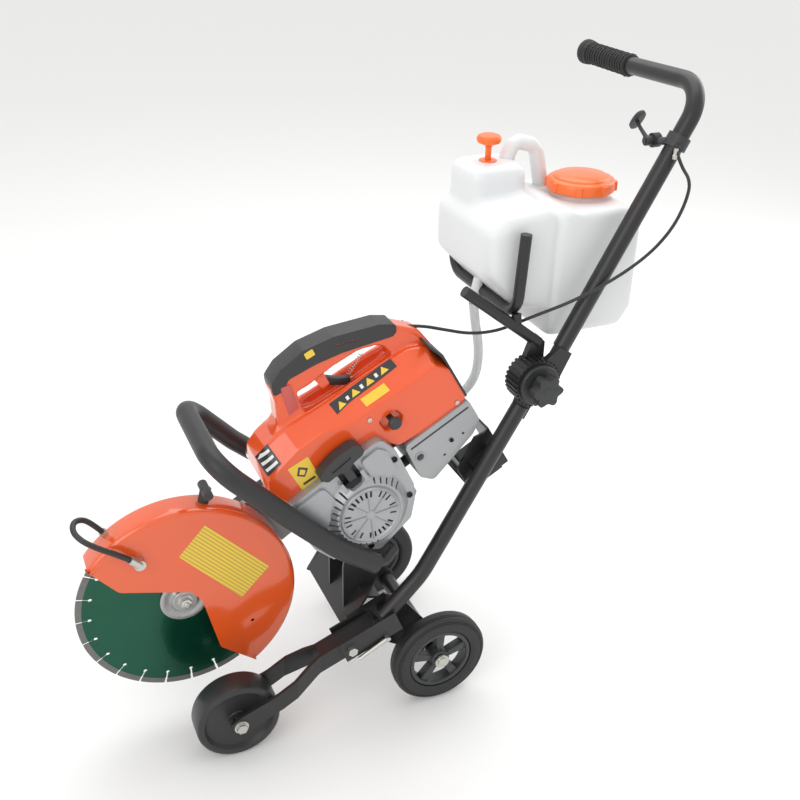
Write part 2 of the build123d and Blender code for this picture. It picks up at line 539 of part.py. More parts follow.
rail -= rod_y(PIVOT_RADIUS, RAIL_LEFT_Y - 1, RAIL_RIGHT_Y + 1)
chassis = on_rail(rail)
PLATE = 5.0
cheek_low_y = RAIL_RIGHT_Y
AXLE_BOSS_RADIUS = 14.0
cheek = outline((238, -100), (252, -52), (322, -22), (350, -36), (AXLE_X + 24, AXLE_Z + 6),
                (AXLE_X + 14, AXLE_Z - 20), (AXLE_X - 14, AXLE_Z - 20), (300, -112))
chassis += slab(cheek, cheek_low_y, cheek_low_y + PLATE)
AXLE_TUBE_LEFT_Y = LEFT_WHEEL_Y + WHEEL_WIDTH + 3
AXLE_TUBE_RIGHT_Y = RIGHT_WHEEL_Y - 3
chassis += rod_y(AXLE_BOSS_RADIUS, AXLE_TUBE_LEFT_Y, AXLE_TUBE_RIGHT_Y, AXLE_X, AXLE_Z)
BEAM_RIGHT_Y = 104.0
BEAM_LOW = (250.0, -82.0)
BEAM_HIGH = (290.0, -20.0)
beam_face = outline(BEAM_LOW, BEAM_HIGH, (316, -28), (314, -32), (292, -25), (256, -81), (276, -96), (273, -100))
chassis += slab(beam_face, cheek_low_y + PLATE - 1, BEAM_RIGHT_Y)
far_cheek = outline((248, -86), (288, -20), (318, -26), (AXLE_X + 16, AXLE_Z + 10),
                    (AXLE_X + 14, AXLE_Z - 20), (AXLE_X - 14, AXLE_Z - 20), (278, -104))
chassis += slab(far_cheek, BEAM_RIGHT_Y - PLATE, BEAM_RIGHT_Y)
# Saddle under the crankcase, on two posts from the cross beam.
SADDLE_TOP = CASE_BOTTOM
saddle = on_saw(block(262, 392, -60, 24, SADDLE_TOP - 5, SADDLE_TOP))
post_face = outline((262, -66), (292, -22), (318, -28), (366, 112), (352, 104), (266, 54), (262, 20))
for post_y in (-52, 16):
    post = slab(post_face, post_y, post_y + PLATE)
    chassis += post - on_saw(block(150, 500, -100, 100, SADDLE_TOP - 1, 100))
chassis += saddle
chassis -= rod_y(AXLE_RADIUS, AXLE_TUBE_LEFT_Y - 5, AXLE_TUBE_RIGHT_Y + 5, AXLE_X, AXLE_Z)
nodes["chassis"] = chassis

# Clamp bars over the crankcase foot, and the bolts that pull them down.
clamp_bars = []
clamp_bolts = []
for bar_y, tongue_y in ((CASE_LEFT_Y - 8, CASE_LEFT_Y), (ARM_LEFT_Y, ARM_LEFT_Y - 6)):
    bar = block(312, 384, bar_y, bar_y + 8, SADDLE_TOP - 5, SADDLE_TOP + 4)
    bar += block(312, 384, tongue_y, tongue_y + 6, SADDLE_TOP - 5, SADDLE_TOP)
    clamp_bars.append(bar)
    for bolt_x in (324, 372):
        top = (bolt_x, tongue_y + 3, SADDLE_TOP - 5)
        clamp_bolts.append(on_saw(rod((top[0], top[1], top[2] - 11), top, 4)))
nodes["saw_clamps"] = on_saw(Compound(children=clamp_bars))

# Rear support behind the fuel tank, welded to the handle tube.
SUPPORT_LEFT_Y = SIDE_Y + TUBE_RADIUS
support_side = outline((488, -104), (568, -104), (568, -24), (540, -18), (500, -44), (488, -52))
rear_support = slab(support_side, SUPPORT_LEFT_Y + 8, SUPPORT_LEFT_Y + 12)
rear_support += block(488, 568, SUPPORT_LEFT_Y + 8, 0, -104, -100)
rear_support += block(496, 500, SUPPORT_LEFT_Y + 8, 0, -102, -36)
rear_support += block(564, 568, SUPPORT_LEFT_Y + 8, 0, -102, -18)
rear_support += block(510, 552, SUPPORT_LEFT_Y - 8, SUPPORT_LEFT_Y + 9, -92, -50)
rear_support = on_saw(rear_support)

# Axle, wheels and hubs.
axle = rod_y(AXLE_RADIUS, LEFT_WHEEL_Y - 6, RIGHT_WHEEL_Y + WHEEL_WIDTH + 6, AXLE_X, AXLE_Z)
for washer_y in (LEFT_WHEEL_Y - 3.5, RIGHT_WHEEL_Y + WHEEL_WIDTH + 0.5):
    axle += rod_y(13, washer_y, washer_y + 3, AXLE_X, AXLE_Z)
nodes["axle"] = axle


def wheel_hub(y_low):
    """Plastic hub: rim, five spokes with gaps between, and a long boss."""
    y_high = y_low + WHEEL_WIDTH
    hub = ring_y(HUB_RADIUS, 47, y_low + 2, y_high - 2, AXLE_X, AXLE_Z)
    hub += rod_y(18, y_low, y_high, AXLE_X, AXLE_Z)
    for spoke in range(5):
        angle = math.radians(90 + spoke * 72)
        mid = 34
        hub += (Pos(AXLE_X + mid * math.cos(angle), (y_low + y_high) / 2, AXLE_Z + mid * math.sin(angle))
                * Rotation(0, -math.degrees(angle), 0) * Box(36, 18, 13))
    return hub - rod_y(AXLE_RADIUS + RUN_CLEARANCE, y_low - 1, y_high + 1, AXLE_X, AXLE_Z)


def wheel_tyre(y_low):
    """Solid rubber tyre with four grooves round its tread."""
    y_high = y_low + WHEEL_WIDTH
    tyre = ring_y(WHEEL_RADIUS, HUB_RADIUS, y_low, y_high, AXLE_X, AXLE_Z)
    for groove in range(4):
        groove_y = y_low + WHEEL_WIDTH * (groove + 1) / 5
        tyre -= ring_y(WHEEL_RADIUS + 1, WHEEL_RADIUS - 2, groove_y - 1, groove_y + 1, AXLE_X, AXLE_Z)
    return tyre


for side, wheel_y in (("left", LEFT_WHEEL_Y), ("right", RIGHT_WHEEL_Y)):
    nodes[side + "_wheel_hub"] = wheel_hub(wheel_y)
    nodes[side + "_tyre"] = wheel_tyre(wheel_y)

# Front wheel and its forked arm.
front_left_y = SIDE_Y - FRONT_WHEEL_WIDTH / 2
front_right_y = SIDE_Y + FRONT_WHEEL_WIDTH / 2
front_wheel = rod_y(FRONT_WHEEL_RADIUS, front_left_y, front_right_y, FRONT_X, FRONT_Z)
for face_low, face_high in ((front_left_y - 1, front_left_y + 9), (front_right_y - 9, front_right_y + 1)):
    front_wheel -= ring_y(58, 20, face_low, face_high, FRONT_X, FRONT_Z)
front_wheel -= rod_y(FRONT_BOLT_RADIUS + RUN_CLEARANCE, front_left_y - 1, front_right_y + 1, FRONT_X, FRONT_Z)
nodes["front_wheel"] = front_wheel

PRONG = 6.0
PRONG_GAP = 3.5
prong_y = FRONT_WHEEL_WIDTH / 2 + PRONG_GAP
arm_half = ARM_WIDTH / 2
plan = Sketch()
for side in (-1, 1):
    plan += make_face(Polyline(
        (FRONT_X - 24, side * prong_y), (140, side * prong_y), (186, side * (arm_half - PRONG)),
        (PIVOT_X + 60, side * (arm_half - PRONG)), (PIVOT_X + 60, side * arm_half),
        (190, side * arm_half), (144, side * (prong_y + PRONG)), (FRONT_X - 24, side * (prong_y + PRONG)),
        close=True))
arm_rear = 52.0
slope = math.radians(RAIL_SLOPE)
along = (math.cos(slope), math.sin(slope))
half_height = ARM_HEIGHT / 2


def rail_xz(s, t):
    return (PIVOT_X + s * along[0] - t * along[1], PIVOT_Z + s * along[1] + t * along[0])


side_view = outline(
    rail_xz(arm_rear, half_height), rail_xz(arm_rear, -half_height), rail_xz(-70, -half_height),
    (118, -158), (FRONT_X + 6, FRONT_Z - 19), (FRONT_X - 14, FRONT_Z - 12), (FRONT_X - 16, FRONT_Z + 8),
    (FRONT_X, FRONT_Z + 18), (112, -126), rail_xz(-70, half_height))
fork = (Pos(0, SIDE_Y, -250) * extrude(plan, 300)) & slab(side_view, SIDE_Y - 60, SIDE_Y + 60)
web = slab(outline(rail_xz(arm_rear, half_height), rail_xz(arm_rear, half_height - 5),
                   rail_xz(-50, half_height - 5), rail_xz(-50, half_height)),
           SIDE_Y - arm_half + 1, SIDE_Y + arm_half - 1)
fork += web
fork -= rod_y(PIVOT_RADIUS + RUN_CLEARANCE, SIDE_Y - 60, SIDE_Y + 60, PIVOT_X, PIVOT_Z)
fork -= rod_y(FRONT_BOLT_RADIUS, SIDE_Y - 60, SIDE_Y + 60, FRONT_X, FRONT_Z)
nodes["fork_arm"] = fork

bolt_end = prong_y + PRONG
front_bolt = rod_y(FRONT_BOLT_RADIUS, SIDE_Y - bolt_end - 2, SIDE_Y + bolt_end + 2, FRONT_X, FRONT_Z)
front_bolt += rod_y(12, SIDE_Y - bolt_end - 2, SIDE_Y - bolt_end, FRONT_X, FRONT_Z)
front_bolt += hexagon_y(16, SIDE_Y - bolt_end - 8, SIDE_Y - bolt_end - 2, FRONT_X, FRONT_Z)
front_bolt += hexagon_y(16, SIDE_Y + bolt_end, SIDE_Y + bolt_end + 7, FRONT_X, FRONT_Z)
nodes["front_wheel_bolt"] = front_bolt

pivot_bolt = rod_y(PIVOT_RADIUS, RAIL_LEFT_Y, RAIL_RIGHT_Y, 0, 0)
pivot_bolt += hexagon_y(15, RAIL_LEFT_Y - 8, RAIL_LEFT_Y, 0, 0)
pivot_bolt += rod_y(9, RAIL_RIGHT_Y, RAIL_RIGHT_Y + 4, 0, 0)
lower_bolts = [on_rail(pivot_bolt)] + clamp_bolts
nodes["cart_bolts"] = Compound(children=lower_bolts)
nodes["chassis"] -= on_rail(rod_y(9, RAIL_RIGHT_Y - 1, RAIL_RIGHT_Y + 6, 0, 0))

lock = rod_y(LOCK_RADIUS, RAIL_LEFT_Y - 9, RAIL_RIGHT_Y + PLATE + 6, LOCK_X, LOCK_Z)
lock += rod((LOCK_X, RAIL_LEFT_Y - 5, LOCK_Z), (LOCK_X - 58, RAIL_LEFT_Y - 5, LOCK_Z - 7.4), LOCK_RADIUS)
nodes["lock_lever"] = on_rail(lock)
nodes["chassis"] -= on_rail(rod_y(LOCK_RADIUS + RUN_CLEARANCE, RAIL_RIGHT_Y - 2, RAIL_RIGHT_Y + PLATE + 7,
                                  LOCK_X, LOCK_Z))

# ---- handle ---------------------------------------------------------------------
# Three toothed discs on one bolt: the tank's, the lower tube's and the upper tube's.
LOWER_DISC_Y = SIDE_Y + JOINT_DISC / 2
UPPER_DISC_Y = SIDE_Y - JOINT_DISC / 2 - FACE_GAP
CRADLE_DISC_Y = LOWER_DISC_Y + FACE_GAP
TOOTH_COUNT = 30


def toothed_disc(y_low, y_high):
    """A joint disc with small teeth round its rim and a hole for the bolt."""
    teeth = Sketch() + [
        Rot(0, 0, step * 360 / TOOTH_COUNT) * Pos(JOINT_RADIUS, 0) * Rectangle(5, 3.6)
        for step in range(TOOTH_COUNT)
    ]
    face = Circle(JOINT_RADIUS) - teeth - Circle(JOINT_BOLT_RADIUS + RUN_CLEARANCE)
    return slab(Pos(JOINT_X, JOINT_Z) * face, y_low, y_high)


foot = rail_xz(62, 12)
tube_points = [(foot[0] + 14, SIDE_Y, foot[1] - 2), (378, SIDE_Y, 22), (545, SIDE_Y, 312.8)]
lower = pipe(tube_points, [140], TUBE_RADIUS, TUBE_WALL)
neck = slab(outline((528, 300), (550, 288), (585, 352), (563, 372), (543, 352)), SIDE_Y - JOINT_DISC / 2,
            LOWER_DISC_Y)
lower += neck
lower += rod((535, SIDE_Y, 295.4), (545, SIDE_Y, 312.8), TUBE_RADIUS - 1)
lower += toothed_disc(SIDE_Y - JOINT_DISC / 2, LOWER_DISC_Y)
lower -= rod_y(JOINT_BOLT_RADIUS + RUN_CLEARANCE, SIDE_Y - 40, SIDE_Y + 40, JOINT_X, JOINT_Z)
nodes["lower_tube"] = lower
nodes["chassis"] += rear_support
nodes["chassis"] -= pipe(tube_points, [140], TUBE_RADIUS)

UPPER_START = (611.0, SIDE_Y, 404.0)
UPPER_CORNER = (824.0, SIDE_Y, 798.0)
BAR_END = (816.0, 205.0, 790.0)
GRIP_LENGTH = 130.0
upper_dir = Vector(*UPPER_CORNER) - Vector(*UPPER_START)
upper_dir = upper_dir.normalized()
upper = pipe([UPPER_START, UPPER_CORNER, BAR_END], [55], TUBE_RADIUS, TUBE_WALL)
plug_start = Vector(*UPPER_START) - upper_dir * 16
plug_end = Vector(*UPPER_START) + upper_dir * 20
upper += rod(tuple(plug_start), tuple(plug_end), TUBE_RADIUS - TUBE_WALL)
upper += slab(outline((572, 392), (600, 352), (622, 398), (600, 412)), UPPER_DISC_Y - JOINT_DISC + 2, UPPER_DISC_Y)
upper += toothed_disc(UPPER_DISC_Y - JOINT_DISC, UPPER_DISC_Y)
upper -= rod_y(JOINT_BOLT_RADIUS + RUN_CLEARANCE, SIDE_Y - 40, SIDE_Y + 40, JOINT_X, JOINT_Z)
nodes["upper_tube"] = upper

bar_dir = (Vector(*BAR_END) - Vector(*UPPER_CORNER)).normalized()
grip_start = Vector(*BAR_END) - bar_dir * GRIP_LENGTH
grip = rod(tuple(grip_start), tuple(Vector(*BAR_END) + bar_dir * 3), GRIP_RADIUS)
grip += rod(tuple(grip_start), tuple(grip_start + bar_dir * 8), GRIP_RADIUS + 2.5)
nodes["handle_grip"] = grip - rod(tuple(grip_start - bar_dir * 5), BAR_END, TUBE_RADIUS)

knob_left = UPPER_DISC_Y - JOINT_DISC
plate_disc = ring_y(34, JOINT_BOLT_RADIUS, knob_left - FACE_GAP - 8, knob_left - FACE_GAP, JOINT_X, JOINT_Z)
knob_face = Circle(19)
for lobe in range(6):
    knob_face += Rot(0, 0, lobe * 60) * Pos(19, 0) * Circle(7.5)
star = slab(Pos(JOINT_X, JOINT_Z) * knob_face, knob_left - 34, knob_left - 14)
star += rod_y(13, knob_left - 16, knob_left - 8 - FACE_GAP, JOINT_X, JOINT_Z)
star += plate_disc
star += rod_y(JOINT_BOLT_RADIUS, knob_left - 30, CRADLE_DISC_Y + JOINT_DISC + 2, JOINT_X, JOINT_Z)
nodes["star_knob"] = star

# Thumb throttle on the upper tube, below the handlebar.
CLAMP_Z = 718.0
clamp_t = (CLAMP_Z - UPPER_START[2]) / (UPPER_CORNER[2] - UPPER_START[2])
clamp_x = UPPER_START[0] + clamp_t * (UPPER_CORNER[0] - UPPER_START[0])
clamp_mid = Vector(clamp_x, SIDE_Y, CLAMP_Z)
clamp_low = tuple(clamp_mid - upper_dir * 10)
clamp_high = tuple(clamp_mid + upper_dir * 10)
lever_x, lever_y, lever_z = clamp_x - 32.0, SIDE_Y + 27.0, CLAMP_Z - 2.0
lever_clamp = rod(clamp_low, clamp_high, TUBE_RADIUS + 4)
lever_clamp += rod((clamp_x - 6, SIDE_Y + 6, CLAMP_Z), (lever_x + 12, lever_y - 6, lever_z), 6)
lever_clamp += rod((lever_x + 6, lever_y, lever_z), (lever_x + 18, lever_y, lever_z), 11)
lever_clamp += rod((lever_x - 9, lever_y, lever_z), (lever_x + 10, lever_y, lever_z), 4)
lever_clamp += rod((clamp_x - 4, SIDE_Y - 8, CLAMP_Z - 2), (clamp_x - 16, SIDE_Y - 22, CLAMP_Z - 4), 5)
clamp_bore = rod(tuple(clamp_mid - upper_dir * 30), tuple(clamp_mid + upper_dir * 30), TUBE_RADIUS)
nodes["lever_clamp"] = lever_clamp - clamp_bore
thumb = rod((lever_x - 5, lever_y, lever_z), (lever_x + 5, lever_y, lever_z), 9)
thumb += rod((lever_x, lever_y, lever_z), (lever_x, lever_y + 34, lever_z + 24), 4)
thumb += Pos(lever_x, lever_y + 34, lever_z + 24) * Rotation(36, 0, 0) * Box(20, 6, 38)
nodes["thumb_lever"] = thumb - rod((lever_x - 13, lever_y, lever_z), (lever_x + 14, lever_y, lever_z),
                                   4 + RUN_CLEARANCE)

cable_route = [
    (clamp_x - 19, SIDE_Y - 25, CLAMP_Z - 4), (clamp_x - 14, SIDE_Y - 34, CLAMP_Z - 26),
    (794, SIDE_Y - 30, 664), (797, SIDE_Y - 22, 628), (782, SIDE_Y - 20, 590), (750, SIDE_Y - 22, 558),
    (708, SIDE_Y - 24, 533), (668, SIDE_Y - 23, 514), (636, SIDE_Y - 16, 497), (606, SIDE_Y - 3, 479),
    (578, SIDE_Y + 18, 460), (550, SIDE_Y + 34, 443), (516, SIDE_Y + 44, 429), (474, SIDE_Y + 54, 427),
    (434, SIDE_Y + 66, 436), (398, SIDE_Y + 78, 444), (370, SIDE_Y + 83, 445),
]
cord_nodes["throttle_cable"] = cord("throttle_cable", cable_route, CABLE_RADIUS)

# ---- tank and cradle ------------------------------------------------------------
U_X = 536.0
U_LOW = 462.0
U_LEFT = TANK_LEFT_Y - CRADLE_TUBE_RADIUS - 3
U_RIGHT = TANK_LEFT_Y + TANK_DEPTH + CRADLE_TUBE_RADIUS + 3
ARM_START = (576.0, CRADLE_DISC_Y + JOINT_DISC / 2, 413.0)
ARM_END = (446.0, CRADLE_DISC_Y + JOINT_DISC / 2 + 14, 514.0)
cradle = pipe([(543, U_LEFT, 594), (U_X, U_LEFT, U_LOW), (U_X, U_RIGHT, U_LOW), (543, U_RIGHT, 594)],
              [34, 34], CRADLE_TUBE_RADIUS)
cradle += rod(ARM_START, ARM_END, CRADLE_TUBE_RADIUS)
cradle += rod((U_X, U_LEFT, U_LOW + 4), (U_X, U_LEFT - 3, U_LOW - 12), CRADLE_TUBE_RADIUS - 1)
cradle += slab(outline((548, 384), (562, 424), (572, 428), (584, 416), (584, 378)), CRADLE_DISC_Y,
               CRADLE_DISC_Y + JOINT_DISC)
cradle += toothed_disc(CRADLE_DISC_Y, CRADLE_DISC_Y + JOINT_DISC)
cradle -= rod_y(JOINT_BOLT_RADIUS + RUN_CLEARANCE, SIDE_Y - 40, SIDE_Y + 60, JOINT_X, JOINT_Z)
nodes["tank_cradle"] = cradle

TANK_RIGHT_Y = TANK_LEFT_Y + TANK_DEPTH
TANK_FRONT, TANK_REAR = 490.0, 766.0
TANK_BOTTOM, TANK_SHOULDER = 404.0, 612.0
TOWER_LEFT_Y = 14.0


def tank_body(inset):
    """Main chamber and pump tower, shrunk all round by the inset."""
    face = outline((612, TANK_BOTTOM), (TANK_REAR - 20, TANK_BOTTOM), (TANK_REAR, TANK_BOTTOM + 30),
                   (TANK_REAR, TANK_SHOULDER - 30), (TANK_REAR - 24, TANK_SHOULDER), (650, TANK_SHOULDER),
                   (600, TANK_SHOULDER + 14), (520, TANK_SHOULDER + 6), (TANK_FRONT, TANK_SHOULDER - 20),
                   (TANK_FRONT, 520))
    body = slab(offset(face, -inset) if inset else face, TANK_LEFT_Y + inset, TANK_RIGHT_Y - inset)
    corner = 40 - inset
    upright = body.edges().filter_by(Axis.Z)
    body = fillet(upright, corner) if upright else body
    tower = block(506 + inset, 610 - inset, TOWER_LEFT_Y + inset, TANK_RIGHT_Y - inset - 4,
                  TANK_SHOULDER - 20, 664 - inset)
    tower = fillet(tower.edges().filter_by(Axis.Z), 24 - inset)
    return body + tower


CAP_X, CAP_Y = 700.0, 8.0
tank = tank_body(0)
tank += Pos(CAP_X, CAP_Y, TANK_SHOULDER + 6) * Cylinder(NECK_RADIUS, 14)
carry = pipe([(590, 70, 640), (606, 70, 686), (648, 71, 674), (665, 72, 606)], [16, 22], 13)
tank += carry
tank -= tank_body(TANK_WALL)
tank -= Pos(CAP_X, CAP_Y, TANK_SHOULDER + 2) * Cylinder(NECK_RADIUS - TANK_WALL, 24)
PUMP_X, PUMP_Y = 556.0, 62.0
PUMP_ROD_RADIUS = 5.0
tank -= Pos(PUMP_X, PUMP_Y, 660) * Cylinder(PUMP_ROD_RADIUS + RUN_CLEARANCE, 20)
OUTLET = (527.0, 22.0, 462.0)
tank += rod(OUTLET, (OUTLET[0] + 4, OUTLET[1], OUTLET[2] + 22), 9)
nodes["water_tank"] = tank - nodes["tank_cradle"]

cap = Pos(CAP_X, CAP_Y, TANK_SHOULDER + 16) * Cylinder(CAP_RADIUS, 18)
cap += Pos(CAP_X, CAP_Y, TANK_SHOULDER + 28) * Cylinder(CAP_RADIUS - 10, 8)
for lug in range(8):
    angle = math.radians(lug * 45 + 10)
    cap += (Pos(CAP_X + CAP_RADIUS * math.cos(angle), CAP_Y + CAP_RADIUS * math.sin(angle), TANK_SHOULDER + 16)
            * Rotation(0, 0, math.degrees(angle)) * Box(5, 10, 16))
cap -= Pos(CAP_X, CAP_Y, TANK_SHOULDER + 11) * Cylinder(NECK_RADIUS + FACE_GAP, 10)
nodes["tank_cap"] = cap - Pos(CAP_X, CAP_Y, TANK_SHOULDER + 7) * Cylinder(NECK_RADIUS + FACE_GAP, 12.6)

plunger = Pos(PUMP_X, PUMP_Y, 640) * Cylinder(PUMP_ROD_RADIUS, 104)
plunger += Pos(PUMP_X, PUMP_Y, 696) * Cone(9, 20, 10)
plunger += Pos(PUMP_X, PUMP_Y, 704) * Cylinder(20, 6)
nodes["pump_plunger"] = plunger

barb = saw_point(482, REAR_RIGHT_Y, -2)
water_route = [
    (OUTLET[0] - 3.9, OUTLET[1], OUTLET[2] - 21.6), (528, 22, 404), (537, 24, 368), (542, 27, 330),
    (540, 32, 294), (526, 42, 262), (500, 56, 240), (466, 68, 232), (434, 68, 233),
    (barb[0] + 6, REAR_RIGHT_Y + 27, barb[2] + 2), (barb[0], REAR_RIGHT_Y + 14, barb[2]),
]
cord_nodes["water_hose"] = cord("water_hose", water_route, WATER_HOSE_RADIUS)

# ---- move to the floor origin and write -----------------------------------------
boxes = [shape.bounding_box() for shape in nodes.values()]
middle_x = (min(box.min.X for box in boxes) + max(box.max.X for box in boxes)) / 2
middle_y = (min(box.min.Y for box in boxes) + max(box.max.Y for box in boxes)) / 2
lowest = min(box.min.Z for box in boxes)
shift = Pos(-middle_x, -middle_y, -lowest)
print("shift", round(-middle_x, 3), round(-middle_y, 3), round(-lowest, 3))
nodes.update(cord_nodes)
os.makedirs("parts", exist_ok=True)
for name, shape in nodes.items():
    export_step(shift * shape, f"parts/{name}.step")
print(len(nodes), "nodes")
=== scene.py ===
import math
import bpy
import bmesh
from mathutils import Matrix, Vector
from mathutils.bvhtree import BVHTree
from mathutils.geometry import tessellate_polygon


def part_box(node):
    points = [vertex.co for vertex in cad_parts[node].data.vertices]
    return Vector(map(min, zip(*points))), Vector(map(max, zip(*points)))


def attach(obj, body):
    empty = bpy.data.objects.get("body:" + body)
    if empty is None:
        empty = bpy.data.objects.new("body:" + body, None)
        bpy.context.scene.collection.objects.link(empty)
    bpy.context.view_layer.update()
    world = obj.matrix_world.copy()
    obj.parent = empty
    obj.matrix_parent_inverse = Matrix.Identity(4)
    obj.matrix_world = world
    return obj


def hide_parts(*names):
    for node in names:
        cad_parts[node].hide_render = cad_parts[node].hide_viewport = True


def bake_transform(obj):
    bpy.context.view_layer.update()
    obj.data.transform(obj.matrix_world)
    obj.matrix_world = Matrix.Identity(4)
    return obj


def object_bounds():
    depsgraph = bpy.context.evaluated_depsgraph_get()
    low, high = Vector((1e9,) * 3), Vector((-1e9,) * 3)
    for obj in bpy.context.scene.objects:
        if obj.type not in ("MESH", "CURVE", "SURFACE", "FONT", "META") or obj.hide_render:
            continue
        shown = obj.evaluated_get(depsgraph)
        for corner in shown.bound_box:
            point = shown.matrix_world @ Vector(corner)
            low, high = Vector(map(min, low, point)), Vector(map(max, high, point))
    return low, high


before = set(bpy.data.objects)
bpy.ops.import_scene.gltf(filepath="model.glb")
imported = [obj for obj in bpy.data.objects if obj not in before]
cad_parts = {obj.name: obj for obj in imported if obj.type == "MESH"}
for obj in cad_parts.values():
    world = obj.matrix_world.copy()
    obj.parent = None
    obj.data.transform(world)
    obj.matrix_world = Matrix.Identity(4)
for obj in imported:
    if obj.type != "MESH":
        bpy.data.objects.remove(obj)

cad_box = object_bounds()

# ---- Diamond blade ---------------------------------------------------------------
# A rolled steel disc, ground flat and painted dark green, with a gullet and a keyhole
# between each pair of sintered diamond segments brazed round its rim.
blade_low, blade_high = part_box("blade_core")
arbor = Vector((blade_low[i] + blade_high[i]) / 2 for i in range(3))
saw_lean = math.radians(30)


def machine(x, y, z):
    """Millimetres from the arbor, level with the floor, to the frame's metres."""
    return arbor + Vector((x, y, z)) / 1000


def saw(u, y, w):
    """Millimetres from the arbor, in the tilted saw's own level, to the frame's metres."""
    lean = Matrix.Rotation(-saw_lean, 3, "Y")
    return arbor + lean @ Vector((u, y, w)) / 1000


def add_node(nodes, kind, inputs=None, **settings):
    """A new node with its settings made first and then the values of its inputs."""
    node = nodes.new(kind)
    for name, value in settings.items():
        setattr(node, name, value)
    for name, value in (inputs or {}).items():
        node.inputs[name].default_value = value
    return node


def wire(links, *joins):
    """Joins node sockets, each given as a node, its output, the next node and its input."""
    for source, way_out, target, way_in in joins:
        links.new(source.outputs[way_out], target.inputs[way_in])


def grain_group():
    """Fine grain, slow mottle and hair-fine scuffs that every finish of the machine shares."""
    tree = bpy.data.node_groups.new("surface_grain", "ShaderNodeTree")
    for name, value in (("Grain Scale", 900.0), ("Mottle Scale", 12.0), ("Scuff Scale", 60.0)):
        socket = tree.interface.new_socket(name, in_out="INPUT", socket_type="NodeSocketFloat")
        socket.default_value = value
    for name in ("Grain", "Mottle", "Scuff"):
        tree.interface.new_socket(name, in_out="OUTPUT", socket_type="NodeSocketFloat")
    feed = tree.nodes.new("NodeGroupInput")
    result = tree.nodes.new("NodeGroupOutput")
    coords = tree.nodes.new("ShaderNodeTexCoord")
    for name, detail in (("Grain", 4.0), ("Mottle", 6.0)):
        noise = add_node(tree.nodes, "ShaderNodeTexNoise", {"Detail": detail, "Roughness": 0.6})
        wire(tree.links, (coords, "Object", noise, "Vector"), (feed, name + " Scale", noise, "Scale"),
            (noise, "Fac", result, name))
    stretch = add_node(tree.nodes, "ShaderNodeMapping", {"Rotation": (0.5, 0.9, 0.3),
        "Scale": (1.0, 14.0, 14.0)})
    lines = add_node(tree.nodes, "ShaderNodeTexNoise", {"Detail": 2.0})
    narrow = add_node(tree.nodes, "ShaderNodeMapRange", {"From Min": 0.63, "From Max": 0.7})
    wire(tree.links, (coords, "Object", stretch, "Vector"), (stretch, "Vector", lines, "Vector"),
        (feed, "Scuff Scale", lines, "Scale"), (lines, "Fac", narrow, "Value"),
        (narrow, "Result", result, "Scuff"))
    return tree


surface_grain = grain_group()


def finish(name, colour, rough, metallic=0.0, grain=900.0, bump=0.15, shade=0.85, mottle=12.0,
        scuff=0.0, coat=0.0):
    """A paint, plastic or metal with its own grain, slow mottle and scuffs."""
    material = bpy.data.materials.new(name)
    material.use_nodes = True
    nodes, links = material.node_tree.nodes, material.node_tree.links
    shader = nodes["Principled BSDF"]
    shader.inputs["Metallic"].default_value = metallic
    shader.inputs["Coat Weight"].default_value = coat
    shader.inputs["Coat Roughness"].default_value = 0.06
    effect = add_node(nodes, "ShaderNodeGroup", {"Grain Scale": grain, "Mottle Scale": mottle},
        node_tree=surface_grain, name="surface_grain")
    tint = add_node(nodes, "ShaderNodeMix", {"A": (*(channel * shade for channel in colour), 1),
        "B": (*colour, 1)}, name="tint", data_type="RGBA")
    wire(links, (effect, "Mottle", tint, "Factor"))
    scratched = add_node(nodes, "ShaderNodeMix",
        {"B": (*(min(1, channel * 1.5 + 0.04) for channel in colour), 1)}, name="scratched",
        data_type="RGBA")
    dull = add_node(nodes, "ShaderNodeMath", {1: scuff}, operation="MULTIPLY")
    wire(links, (effect, "Scuff", dull, 0), (dull, "Value", scratched, "Factor"),
        (tint, "Result", scratched, "A"), (scratched, "Result", shader, "Base Color"))
    gloss = add_node(nodes, "ShaderNodeMapRange", {"To Min": rough * 0.8,
        "To Max": min(1, rough * 1.25)}, name="gloss")
    wire(links, (effect, "Mottle", gloss, "Value"), (gloss, "Result", shader, "Roughness"))
    relief = add_node(nodes, "ShaderNodeBump", {"Strength": bump, "Distance": 0.0004}, name="relief")
    wire(links, (effect, "Grain", relief, "Height"), (relief, "Normal", shader, "Normal"))
    return material


def turned_lines(material, centre, spacing, depth):
    """Adds the fine rings a lathe or grinder leaves, round a centre and across Y."""
    nodes, links = material.node_tree.nodes, material.node_tree.links
    coords = nodes.new("ShaderNodeTexCoord")
    centred = add_node(nodes, "ShaderNodeMapping", {"Location": (-centre.x, -centre.y, -centre.z)})
    rings = add_node(nodes, "ShaderNodeTexWave", {"Scale": spacing, "Distortion": 1.5, "Detail": 2.0},
        wave_type="RINGS", rings_direction="Y")
    wire(links, (coords, "Object", centred, "Vector"), (centred, "Vector", rings, "Vector"))
    second = add_node(nodes, "ShaderNodeBump", {"Strength": depth, "Distance": 0.0003})
    wire(links, (rings, "Fac", second, "Height"), (nodes["relief"], "Normal", second, "Normal"),
        (second, "Normal", nodes["Principled BSDF"], "Normal"))


def coat_cad(node, material):
    """Gives a CAD piece its finish."""
    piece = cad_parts[node]
    piece.data.materials.clear()
    piece.data.materials.append(material)


blade_green = finish("blade_green", (0.004, 0.12, 0.065), 0.2, metallic=0.75, grain=500, bump=0.04,
    shade=0.45, mottle=6, scuff=0.2, coat=0.4)
turned_lines(blade_green, arbor, 260, 0.12)
coat_cad("blade_core", blade_green)
segment_grit = finish("segment_grit", (0.23, 0.23, 0.22), 0.55, metallic=0.5, grain=1500, bump=0.7,
    shade=0.6, mottle=90)
coat_cad("blade_segments", segment_grit)

